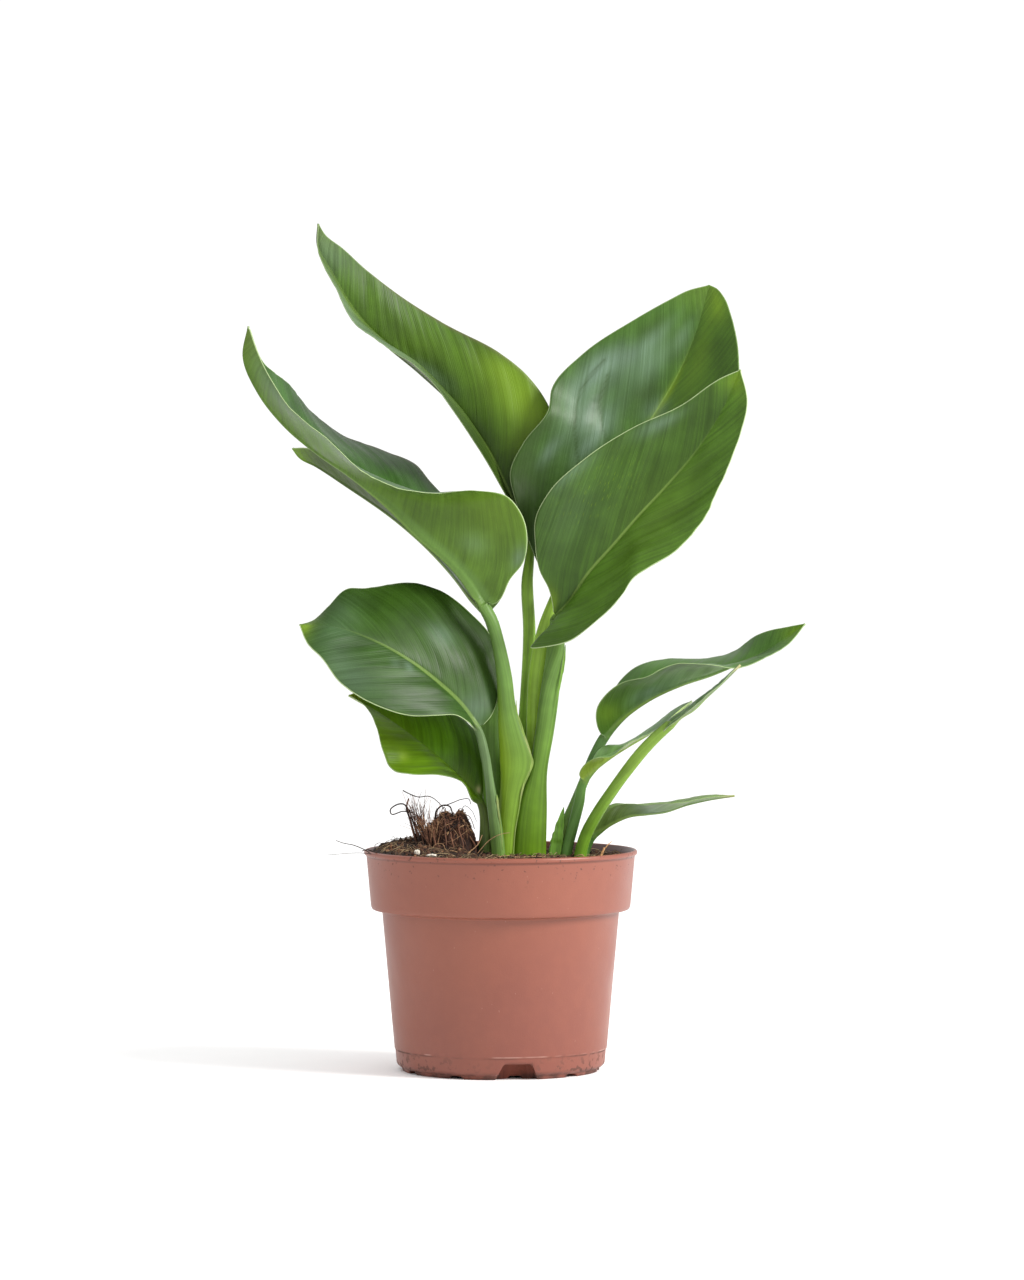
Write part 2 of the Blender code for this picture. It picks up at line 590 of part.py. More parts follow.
def leaf_surface(leaf):
    """The middle surface of a leaf as a grid, nine points across, with half its thickness above and
    below. Each half runs straight from the rib to its margin, arched a little and waved at the edge."""
    centre, half_width, half_depth, along, margins = leaf_axis(leaf)
    forward, side = across_leaf(centre, along, margins)
    level = side[:, 0] ** 2
    wide = np.sqrt(half_width**2 * level + half_depth**2 * (1 - level))
    deep = np.sqrt(half_width**2 * (1 - level) + half_depth**2 * level)
    half_width = np.where(along > 0, half_width, wide)
    half_depth = np.where(along > 0, half_depth, deep)
    rows = []
    normals = []
    for margin, sign in zip(margins, (-1.0, 1.0)):
        out = margin - centre
        reach = np.linalg.norm(out, axis=1)
        turn = smooth_step((reach - 0.6 * half_width) / (1.6 * half_width))[:, None]
        direction = unit(sign * side * (1 - turn) + unit(out) * turn)
        width = np.hypot(reach, half_width)
        near_rib = np.minimum(half_width / width, 0.38)
        steps = [near_rib, 0.71 - 0.31 * turn[:, 0], 0.92 - 0.2 * turn[:, 0], np.ones(len(width))]
        rows.append([(direction, width, step) for step in steps])
        normals.append(unit(np.cross(sign * direction, forward)))
    across = rows[0][::-1] + [(side, half_width, np.zeros(len(centre)))] + rows[1]
    middle = np.stack([centre + d * (w * s)[:, None] for d, w, s in across], axis=1)
    distance = np.stack([w * s for d, w, s in across], axis=1)
    part = np.stack([s for d, w, s in across], axis=1)
    width = np.stack([w for d, w, s in across], axis=1)
    crease = unit(normals[0] + normals[1])
    normal = np.stack([normals[0]] * 4 + [crease] + [normals[1]] * 4, axis=1)
    on_blade = np.sin(math.pi * along)[:, None]
    lift = leaf["arch"] * width * np.sin(math.pi * part) * on_blade
    wave = leaf["wave"] * part**3 * np.sin(math.tau * WAVES * along)[:, None] * on_blade
    middle = middle + normal * (lift + wave)[..., None]
    ridge = np.sqrt(np.clip(1 - (distance / half_width[:, None]) ** 2, 0.0, 1.0))
    fade = np.clip(1 - along * 14.0, 0.0, 1.0)
    above = BLADE / 2 + (half_depth * fade)[:, None] * ridge
    below = BLADE / 2 + half_depth[:, None] * ridge
    return middle, normal, above, below


def leaf_mesh(name, leaf):
    """The grid's upper and lower faces, split into triangles alike, joined at the margins and ends."""
    middle, normal, above, below = leaf_surface(leaf)
    stations, count = above.shape
    upper = middle + normal * above[..., None]
    lower = middle - normal * below[..., None]
    points = np.concatenate([upper.reshape(-1, 3), lower.reshape(-1, 3)])
    start = stations * count
    faces = []
    for j in range(stations - 1):
        for k in range(count - 1):
            a = j * count + k
            b = a + 1
            c = a + count
            d = c + 1
            pair = [(a, b, c), (b, d, c)] if k < count // 2 else [(a, b, d), (a, d, c)]
            faces += [tri[::-1] for tri in pair]
            faces += [tuple(i + start for i in tri) for tri in pair]
        for k, flip in ((0, False), (count - 1, True)):
            a = j * count + k
            ring = (a, a + count, a + count + start, a + start)
            faces.append(ring[::-1] if flip else ring)
    for row in (0, start - count):
        for a in range(row, row + count - 1):
            faces.append((a, a + 1, a + 1 + start, a + start))
    mesh = mesh_of(name, points, faces)
    shape = bmesh.new()
    shape.from_mesh(mesh)
    bmesh.ops.recalc_face_normals(shape, faces=shape.faces)
    shape.to_mesh(mesh)
    shape.free()
    return mesh


def clump_mesh():
    """The root knot's core: an oval plug with a lumpy top of two peaks, as rings round its centre."""
    angle = np.arange(CLUMP_SIDES) * math.tau / CLUMP_SIDES
    rings = [(1.0, CLUMP_FLOOR + GAP), (1.0, 111.5)] + [(part, None) for part in (0.9, 0.7, 0.48, 0.24)]
    points = []
    for part, height in rings:
        x = CLUMP_CENTRE[0] + part * CLUMP_HALF[0] * np.cos(angle)
        y = CLUMP_CENTRE[1] + part * CLUMP_HALF[1] * np.sin(angle)
        z = clump_height(x, y, part) if height is None else np.full(CLUMP_SIDES, height)
        points.append(np.stack([x, y, z], axis=1))
    peak = np.array([[*CLUMP_CENTRE, clump_height(*np.array(CLUMP_CENTRE)[:, None], 0.0)[0]]])
    grid = np.concatenate(points + [peak])
    faces = [tuple(range(CLUMP_SIDES))[::-1]]
    for ring in range(len(rings) - 1):
        for k in range(CLUMP_SIDES):
            a = ring * CLUMP_SIDES + k
            b = ring * CLUMP_SIDES + (k + 1) % CLUMP_SIDES
            faces.append((a, b, b + CLUMP_SIDES, a + CLUMP_SIDES))
    last = (len(rings) - 1) * CLUMP_SIDES
    faces += [(last + k, last + (k + 1) % CLUMP_SIDES, len(grid) - 1) for k in range(CLUMP_SIDES)]
    return mesh_of("root_clump", grid, faces)


def clump_height(x, y, part):
    """A dome of 12 mm with two peaks towards the stalks, roughened by a ripple."""
    dome = 111.5 + 8.0 * np.sqrt(np.maximum(0.0, 1 - part**2))
    first = 10.0 * np.exp(-((x + 29.0) ** 2 + (y + 5.0) ** 2) / (2 * 3.2**2))
    second = 10.0 * np.exp(-((x + 20.0) ** 2 + (y + 6.0) ** 2) / (2 * 3.8**2))
    ripple = 0.9 * np.sin(x * 1.1) * np.cos(y * 0.9 + 1.0) * (1 - part)
    return dome + np.maximum(first, second) * (1 - part**4) + ripple


def root_mesh(name, points):
    """A root: a tapering tube of few sides through the points."""
    path = smooth_curve(points, np.linspace(0.0, 1.0, ROOT_SAMPLES))
    forward = unit(np.gradient(path, axis=0))
    side = unit(np.cross(forward, np.array([0.3, 1.0, 0.2])))
    up = np.cross(side, forward)
    radius = np.linspace(0.8, 0.45, ROOT_SAMPLES)[:, None, None]
    angle = np.arange(ROOT_SIDES) * math.tau / ROOT_SIDES
    turn = np.cos(angle)[None, :, None] * side[:, None] + np.sin(angle)[None, :, None] * up[:, None]
    grid = (path[:, None] + radius * turn).reshape(-1, 3)
    faces = [tuple(range(ROOT_SIDES)), tuple(len(grid) - 1 - k for k in range(ROOT_SIDES))]
    for j in range(ROOT_SAMPLES - 1):
        for k in range(ROOT_SIDES):
            a = j * ROOT_SIDES + k
            b = j * ROOT_SIDES + (k + 1) % ROOT_SIDES
            faces.append((a, a + ROOT_SIDES, b + ROOT_SIDES, b))
    mesh = mesh_of(name, grid, faces)
    shape = bmesh.new()
    shape.from_mesh(mesh)
    bmesh.ops.recalc_face_normals(shape, faces=shape.faces)
    shape.to_mesh(mesh)
    shape.free()
    return mesh


def largest_island(mesh):
    """Removes every loose scrap, so that the largest connected part of the mesh stays."""
    shape = bmesh.new()
    shape.from_mesh(mesh)
    unseen = set(shape.verts)
    islands = []
    while unseen:
        island = []
        front = [unseen.pop()]
        while front:
            vert = front.pop()
            island.append(vert)
            near = {edge.other_vert(vert) for edge in vert.link_edges} & unseen
            unseen -= near
            front.extend(near)
        islands.append(island)
    islands.sort(key=len)
    for island in islands[:-1]:
        bmesh.ops.delete(shape, geom=island, context="VERTS")
    shape.to_mesh(mesh)
    shape.free()


def build_clump(parts):
    """The core joined with its roots, which are sunk well into it, in one union."""
    roots = new_collection("bird_of_paradise_roots", in_render=False)
    for index, points in enumerate(ROOTS):
        add_object(f"root_{index}", root_mesh(f"root_{index}", points), roots)
    clump = add_object("root_clump", clump_mesh(), parts, OLD_ROOT)
    union = clump.modifiers.new("join", "BOOLEAN")
    union.operation = "UNION"
    union.operand_type = "COLLECTION"
    union.solver = "MANIFOLD"
    union.collection = roots
    as_mesh(clump, OLD_ROOT)
    largest_island(clump.data)
    for obj in list(roots.objects):
        bpy.data.objects.remove(obj, do_unlink=True)
    bpy.data.collections.remove(roots)
    return clump


def main():
    clear_scene()
    parts = new_collection("potted_bird_of_paradise")
    build_pot(parts, new_collection("pot_cutters", in_render=False))
    build_soil(parts, new_collection("soil_cutters", in_render=False))
    build_clump(parts)
    for name, leaf in LEAVES.items():
        add_object(name, leaf_mesh(name, leaf), parts, LEAF_FINISH[name])


main()
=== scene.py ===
"""The looks of a potted bird of paradise: eleven waxy leaves on fleshy stalks, a knot of old roots and
peat with crumbs and fibres, in a moulded nursery pot.

Every piece is a surface worked out on a grid of two parameters. The tables are in millimetres, and MM
turns them into metres. +Z is up, -Y is the front, and the origin is the centre of the pot's underside.
"""

import math

import bpy
import numpy as np
from bpy.props import FloatProperty, FloatVectorProperty, IntProperty, PointerProperty
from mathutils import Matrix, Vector


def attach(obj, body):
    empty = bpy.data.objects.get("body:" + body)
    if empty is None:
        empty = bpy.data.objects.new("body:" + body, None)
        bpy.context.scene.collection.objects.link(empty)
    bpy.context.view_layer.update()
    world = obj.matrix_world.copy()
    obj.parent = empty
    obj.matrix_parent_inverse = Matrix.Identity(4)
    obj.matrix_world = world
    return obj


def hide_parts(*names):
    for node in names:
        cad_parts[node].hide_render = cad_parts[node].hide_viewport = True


bl_info = {
    "name": "Potted bird of paradise",
    "version": (1, 0, 0),
    "blender": (4, 5, 0),
    "location": "View3D > Sidebar > Plant",
    "description": "Builds the leaves, roots, peat, pot and studio of a potted bird of paradise",
    "category": "Add Mesh",
}

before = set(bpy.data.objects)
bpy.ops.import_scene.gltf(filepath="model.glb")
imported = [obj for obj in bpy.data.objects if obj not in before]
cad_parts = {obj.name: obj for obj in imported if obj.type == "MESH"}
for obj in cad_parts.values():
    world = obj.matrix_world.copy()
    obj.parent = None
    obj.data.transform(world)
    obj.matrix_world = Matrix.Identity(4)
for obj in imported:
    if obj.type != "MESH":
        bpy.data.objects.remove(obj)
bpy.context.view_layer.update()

MM = 0.001
GAP = 0.3

# The pot: half a section, as radius and height.
RIM_HEIGHT = 113.0
RIM_RADIUS = 70.0
FLOOR_THICKNESS = 2.5
FOOT_RADIUS = 50.4
POT_OUTSIDE = [
    (RIM_RADIUS - 0.7, RIM_HEIGHT),
    (RIM_RADIUS, RIM_HEIGHT - 0.7),
    (RIM_RADIUS, 110.9),
    (68.8, 110.2),
    (66.5, 84.2),
    (65.8, 82.6),
    (60.8, 82.0),
    (54.5, 11.3),
    (54.0, 10.8),
    (53.4, 3.6),
    (51.8, 2.1),
    (FOOT_RADIUS + 0.4, 2.0),
    (FOOT_RADIUS, 0.0),
]
POT_INSIDE = [
    (40.0, FLOOR_THICKNESS),
    (42.5, 10.6),
    (53.1, 13.0),
    (59.3, 82.4),
    (63.9, 84.0),
    (65.1, 85.4),
    (67.4, 110.2),
    (RIM_RADIUS - 1.8, RIM_HEIGHT - 0.6),
]

# The drainage under the pot: shallow channels between the feet, each with a blind hole, and two of them
# ending in a tall notch.
CHANNELS = 10
FIRST_CHANNEL = math.radians(-80.6)
CHANNEL_WIDTH = 8.0
CHANNEL_HEIGHT = 1.6
CHANNEL_START = 24.0
HOLE_RADIUS = 3.5
HOLE_DEPTH = FLOOR_THICKNESS - 0.3
HOLE_DISTANCE = 33.0
NOTCH_HEIGHT = 8.2
NOTCH_TOP_WIDTH = 13.0
NOTCH_FOOT_WIDTH = 19.5
NOTCH_START = 45.0

# The soil: its level at the right wall, the floor of the holes for the stalks, and how far from the
# axis the crumbs, the middles of the fibres and their ends may lie.
SOIL_LEVEL = 107.6
HOLE_FLOOR = 88.0
CRUMB_REACH = 64.0
FIBRE_REACH = 63.0
FIBRE_LIMIT = 64.5

# The knot of old roots that stands out of the soil left of the leaves.
CLUMP_CENTRE = (-26.8, -6.0)
CLUMP_HALF = (15.8, 9.0)
CLUMP_FLOOR = 104.0
STOUTEST = 3
ROOT_RADIUS = 0.95
ROOT_TIP = 0.4
ROOTS = [
    [(-41, -9, 109), (-43.8, -9, 121.2), (-46, -9, 129.2), (-48.2, -9, 135.2), (-46.9, -9, 140.2)],
    [(-39, -11, 109), (-41.5, -12, 119.2), (-44.5, -12, 127.2), (-46.8, -10, 134.2)],
    [(-37, -12, 109), (-38, -13, 118.2), (-41, -13, 125.2), (-43, -12, 131.2)],
    [(-35, -15, 109), (-35.5, -15, 118.2), (-36.5, -12, 124.2), (-35, -8, 129.2)],
    [(-33.5, -16, 109), (-33, -16, 117), (-34.5, -13, 123), (-34, -9, 128)],
    [(-27, -17, 109), (-27.5, -16.5, 118), (-28.5, -13, 126), (-29, -9, 131)],
    [(-23, -17, 109), (-24.5, -16.5, 117), (-26.5, -13, 125), (-27.5, -8, 130.5)],
    [(-19.5, -16, 109), (-19, -15.5, 117), (-21.5, -12, 125), (-21, -8, 130)],
    [(-13, -12, 109), (-13.5, -12, 115), (-16, -10, 121), (-18, -7, 127)],
    [(-31, 3, 109), (-33, 4, 118), (-31, 3, 126), (-33, 0, 130)],
]

# The leaves. Each stalk is a list of x, y, z, half width and half depth, from the floor of its hole.
# The rib runs from the stalk to the tip. The left and right margins are as seen on the upper face.
# A margin waves up and down by wave, and a half blade rises by arch times its width. The grid of a large
# or small leaf has rows on its stalk and blade, and columns on each half, seven of them on the rib.
STALK_FOOT = HOLE_FLOOR + GAP
RIB_HALF_WIDTH = 2.2
RIB_DEPTH = 1.4
WAVES = 2.5
WAVE = 0.8
ARCH = 0.05
SLANT = 0.9
VEIN_BEND = 0.006
SETTLED = 0.16
CREASE_REACH = 4.5
CREASE_DEPTH = 0.5
RIB_COLUMNS = 7
LARGE_LEAF = ((44, 150), 34)
SMALL_LEAF = ((30, 100), 22)
LEAVES = {
    "leaf_main_upper_left": dict(
        stalk=[(9.5, 2.2, STALK_FOOT, 4.4, 2.9), (9.5, 2.2, 113, 4.4, 2.9), (10.4, 6, 150, 3.8, 2.7),
            (13.2, 9.5, 188, 3.5, 2.6), (14.7, 11, 225, 3.3, 2.6), (13.6, 11.5, 250, 3.1, 2.5)],
        rib=[(15, 12, 269), (3.5, 14, 296.5), (-9, 18, 321), (-24, 20, 341), (-42, 18, 358), (-60, 14, 373),
            (-75, 9, 389.5), (-86, 4, 408), (-93.5, -1, 423), (-93, -4, 433)],
        left=[(14, 9, 277), (4.5, 5, 291), (-11, -11, 319.5), (-25.5, -22, 339), (-43, -22, 359),
            (-59.5, -18, 371), (-74.5, -14, 383), (-83, -10, 398), (-93.5, -6, 420)],
        right=[(19, 13, 275), (26, 15, 289), (31, 17, 309), (29, 20, 329), (23, 23, 344), (12, 24, 358),
            (0, 24, 367.5), (-30, 22, 383.5), (-50, 18, 396), (-70, 12, 411), (-81, 6, 421), (-90, 0, 428)],
    ),
    "leaf_main_upper_right": dict(
        wave=1.2, arch=-0.02,
        stalk=[(18.8, 2, STALK_FOOT, 4.1, 2.9), (18.8, 2, 113, 4.1, 2.9), (17.4, 1.8, 150, 3.9, 2.7),
            (17, 1.6, 180, 3.8, 2.6), (18.7, 1.6, 205, 4.2, 2.5), (22.6, 2.4, 226, 3.8, 2.4)],
        rib=[(29, 6, 246), (35, 12, 262), (46, 18, 286), (62.5, 23, 311), (80, 27, 337), (92.5, 30, 358.5),
            (101.5, 33, 380), (108, 34, 403.5)],
        left=[(24.5, 5, 250.5), (19.5, 4, 259), (15, 3, 269), (12, 2.5, 277), (7.5, 2, 292), (5, 3, 305.5),
            (11.5, 6, 321), (24, 11, 338.5), (26, 17, 349.5), (43, 22, 368), (68.5, 26, 385),
            (87, 30, 395.6), (97, 32, 400.6)],
        right=[(35, 2, 244), (51, -2, 253.5), (71, -5, 271.5), (97, -4, 297), (113.5, 2, 323),
            (121, 9, 343.5), (122.5, 15, 360.5), (119, 27, 388), (115, 32, 398), (112, 33.3, 401.6)],
    ),
    "leaf_main_front_right": dict(
        arch=-0.03, rib_half_width=2.6,
        stalk=[(14.8, -5, STALK_FOOT, 8.5, 3.1), (14.8, -5, 113, 8.5, 3.1), (16.4, -5, 135, 7.4, 3.1),
            (19.2, -5, 154, 4.8, 3), (22.4, -5, 173, 4.8, 2.9), (24.9, -5, 192, 5.1, 2.8),
            (27.4, -5, 211, 5.3, 2.7), (28.6, -4.5, 221, 4.6, 2.5)],
        rib=[(28, -4, 230.5), (35, -7, 239), (45, -10, 254.5), (58.5, -12, 270), (71, -13, 284.5),
            (83.5, -14, 298), (100, -16, 317.5), (112.5, -20, 337.5), (121.5, -26, 358)],
        left=[(24.5, -8, 247), (20, -10, 256), (17.5, -13, 271), (17.5, -14, 281.5), (24.5, -15, 296),
            (42.5, -15, 313), (68.5, -16, 329.5), (90.5, -18, 339.5), (113, -24, 354.5)],
        right=[(21.5, -14, 223), (15.5, -20, 217), (24, -26, 217.5), (35, -31, 220.5), (49.5, -36, 232.5),
            (59.5, -38, 243), (66, -38, 252), (75.5, -38, 258), (87, -38, 264.5), (99.5, -37, 277.5),
            (111, -35, 300), (120.5, -32, 322.5), (125, -29, 343)],
    ),
    "leaf_main_left": dict(
        rib_half_width=3.8,
        stalk=[(2.4, -7, STALK_FOOT, 4.6, 2.8), (2.4, -7, 113, 4.6, 2.8), (3.6, -7, 130, 5, 2.8),
            (5.6, -7.4, 145, 6, 2.8), (7.8, -7.8, 158, 8.3, 2.6), (5.3, -8, 173, 6.6, 2.6),
            (3.4, -8.4, 184, 4.9, 2.7), (1.8, -9, 202, 4.1, 2.7), (-1.8, -10, 221, 3.5, 2.6),
            (-4.6, -10.6, 231, 3.2, 2.5)],
        rib=[(-8.5, -11, 238), (-16.5, -12, 249.5), (-27.5, -14, 261), (-42, -16, 273.5), (-57, -18, 288.5),
            (-77, -20, 305), (-93, -22, 316), (-110, -24, 330.5), (-122.5, -25, 346.5), (-130, -25, 365),
            (-127.5, -24, 380)],
        left=[(-2, -13, 240), (5, -17, 252), (11.5, -20, 260.5), (13.5, -23, 271), (11.5, -26, 283),
            (4, -28, 293.5), (-12, -33, 297), (-35.5, -42, 295), (-52.5, -48, 297.5), (-69.5, -52, 306.5),
            (-86, -52, 322.5), (-104, -48, 336.5), (-117, -38, 354.5), (-123, -31, 367)],
        right=[(-15.5, 0, 261.5), (-20, 6, 279.5), (-27, 11, 292), (-36, 15, 301.5), (-43, 18, 309.5),
            (-60, 20, 316.5), (-80, 18, 325), (-96.5, 12, 338.5), (-109.5, 2, 352), (-120, -10, 360.5)],
    ),
    "leaf_main_left_under": dict(
        wave=0.6,
        stalk=[(-2.2, 1.6, STALK_FOOT, 4.1, 2.8), (-2.4, 1.6, 113, 5.3, 2.8), (-4.1, 2.6, 150, 5.2, 2.7),
            (-5.0, 5.2, 178, 5.2, 2.6), (-2.4, 7.2, 205, 3, 2.5), (-3, 8.4, 221, 2.9, 2.4)],
        rib=[(-7.5, 9, 233), (-15.5, 12, 242), (-24.5, 15, 253.5), (-36, 18, 266), (-53.5, 21, 281.5),
            (-80, 24, 300), (-95.5, 25, 310), (-104, 26, 314.5), (-107.5, 25, 319)],
        left=[(-10.5, 4, 240), (-17.5, -1, 249.5), (-27.5, -3, 261.5), (-38.5, -4, 273), (-56.5, -2, 290),
            (-76, 3, 306), (-90, 9, 314.5), (-100, 16, 318.5)],
        right=[(-0.5, 13, 240.5), (2, 18, 248.5), (-3, 26, 261), (-16, 36, 276.5), (-37, 44, 292),
            (-60.5, 46, 304), (-81, 41, 311), (-98, 33, 316.5)],
    ),
    "leaf_left_broad": dict(
        rib_half_width=2.3,
        stalk=[(-1.2, -13.6, STALK_FOOT, 3.5, 2.5), (-1.2, -13.6, 113, 3.5, 2.5),
            (-2.7, -13.6, 127, 3.3, 2.4), (-4.2, -13.5, 138, 2.9, 2.3), (-6, -13.3, 150, 2.3, 2.2),
            (-8, -13, 162, 2.4, 2.1)],
        rib=[(-11.5, -13, 175), (-19, -17, 187), (-30.5, -22, 198.5), (-46.5, -27, 211),
            (-65.5, -31, 221.5), (-82.5, -34, 227.5), (-101.5, -38, 229)],
        left=[(-16.5, -18, 179), (-22.5, -24, 182.5), (-32, -32, 183), (-46, -40, 183.5), (-65, -46, 189.5),
            (-80.5, -48, 200.5), (-90.5, -46, 213), (-97, -43, 219)],
        right=[(-5, -9, 182), (-1, -3, 195), (-1, 1, 210), (-4.5, 3, 222.5), (-15.5, 4, 234.5),
            (-29.5, 3, 244.5), (-44.5, 0, 249.5), (-68.5, -8, 247.5), (-78, -13, 247), (-87.5, -22, 238),
            (-95, -31, 231)],
    ),
    "leaf_left_low": dict(
        stalk=[(-8.2, -3.2, STALK_FOOT, 3, 2.6), (-7.9, -3.2, 113, 3.8, 2.6), (-7.5, -2.6, 122, 3.4, 2.3)],
        rib=[(-10, 1, 136), (-19, 3, 148), (-31, 4, 159.5), (-44, 5, 170), (-59.5, 5, 181), (-78, 3, 192)],
        left=[(-13.5, 0, 137.5), (-19.5, -4, 147), (-31, -9, 152), (-46.5, -12, 152), (-54.5, -12, 153.5),
            (-59.5, -10, 163.5), (-63.5, -6, 177), (-70.5, -1, 187.5)],
        right=[(-8.5, 6, 148.5), (-7.5, 12, 161), (-11.5, 17, 171), (-23.5, 21, 181), (-39, 21, 189),
            (-57, 16, 193), (-70, 9, 194.5)],
    ),
    "leaf_right_tall": dict(
        wave=0.7, arch=0.06,
        stalk=[(28.6, 0, STALK_FOOT, 4, 2.5), (28.6, 0, 113, 4, 2.5), (33.2, 1, 125, 3.2, 2.4),
            (38.2, 2.2, 137, 2.7, 2.2), (43.6, 4, 150, 2.5, 2.1), (48.2, 5.2, 161, 2.3, 2)],
        rib=[(53, 5, 170), (62.5, 4, 180.5), (74.5, 4, 189.2), (93.5, 5, 198), (107.5, 7, 202.4),
            (120.5, 9, 207.5), (133.5, 10, 213), (144.5, 10, 219.5), (156.5, 9, 228.5)],
        left=[(51, 9, 178), (56, 14, 189), (61.5, 18, 199), (72, 22, 207.5), (85.5, 25, 210),
            (103.5, 27, 209.5), (121, 25, 215), (129.5, 21, 221), (149, 13, 227)],
        right=[(50, 1, 175), (49.5, -5, 185), (54, -10, 192.5), (62, -14, 199), (73.5, -17, 202),
            (87, -17, 207.5), (104, -13, 208), (121.5, -5, 207), (134, -1, 210.5), (146.5, 3, 217),
            (153, 7, 224)],
    ),
    "leaf_right_twisted": dict(
        wave=0.6,
        stalk=[(34, -2.8, STALK_FOOT, 2.9, 2.4), (34, -2.8, 113, 2.9, 2.4), (37, -3.8, 125, 2.8, 2.3),
            (40, -5, 137, 2.8, 2.2)],
        rib=[(42.4, -6.5, 148), (48, -8, 155), (54.5, -8, 160), (64, -6, 166), (76.5, -3, 173),
            (88, 0, 180), (98, 3, 189)],
        left=[(46, -3, 155), (50.5, 0, 164), (54, 1, 166.5), (61.5, 3, 166.5), (72, 7, 171.5),
            (84, 10, 180.5), (93.5, 8, 187)],
        right=[(40.5, -11, 152), (43, -15, 157), (48.5, -18, 161), (56, -18, 162), (65, -17, 167.5),
            (77.5, -12, 174), (89.5, -5, 183)],
    ),
    "leaf_right_stem": dict(
        wave=0.4,
        stalk=[(41.2, -6.4, STALK_FOOT, 3.2, 2.4), (41.2, -6.4, 113, 3.2, 2.4), (43.6, -8, 121, 3.2, 2.4),
            (49, -11.5, 131.5, 3.2, 2.4), (56.6, -16, 143.5, 3, 2.4), (64.6, -21, 155, 2.8, 2.3),
            (73.2, -26, 166, 2.5, 2.1), (81.5, -29, 174.5, 2.3, 1.9)],
        rib=[(85.5, -29.5, 178), (91, -30, 182.5), (97, -30, 186), (104, -30, 192.5), (112, -29, 199.5),
            (121.5, -27, 208.5)],
        left=[(85, -25, 179), (86, -20, 180.5), (92, -16, 184.5), (104, -16, 193), (114.5, -22, 201.5)],
        right=[(82.5, -35, 175), (83, -40, 176.5), (90, -43, 182), (102, -43, 191), (112.5, -37, 200)],
    ),
    "leaf_right_low": dict(
        wave=0.6,
        stalk=[(42.5, 1.4, STALK_FOOT, 2.8, 2.2), (42.5, 1.4, 109, 2.8, 2.2)],
        rib=[(46.5, 2, 119.5), (51, 2, 123), (57.5, 1.5, 127), (66, 1, 130.5), (75, 1, 131.5),
            (84, 1, 132.5), (95, 0.5, 136), (106, 0.5, 138.5), (120, 2, 140.5)],
        left=[(47, 7, 125), (52, 11, 132), (58.5, 13, 136), (68, 14, 135.5), (84, 13, 136.5),
            (97, 11, 139.5), (110, 7, 140.5)],
        right=[(48.5, -3, 125), (54, -8, 133), (60, -10, 137), (67, -11, 137), (74, -12, 135.5),
            (83, -12, 136.5), (95, -9, 138.5), (108, -5, 140)],
    ),
}
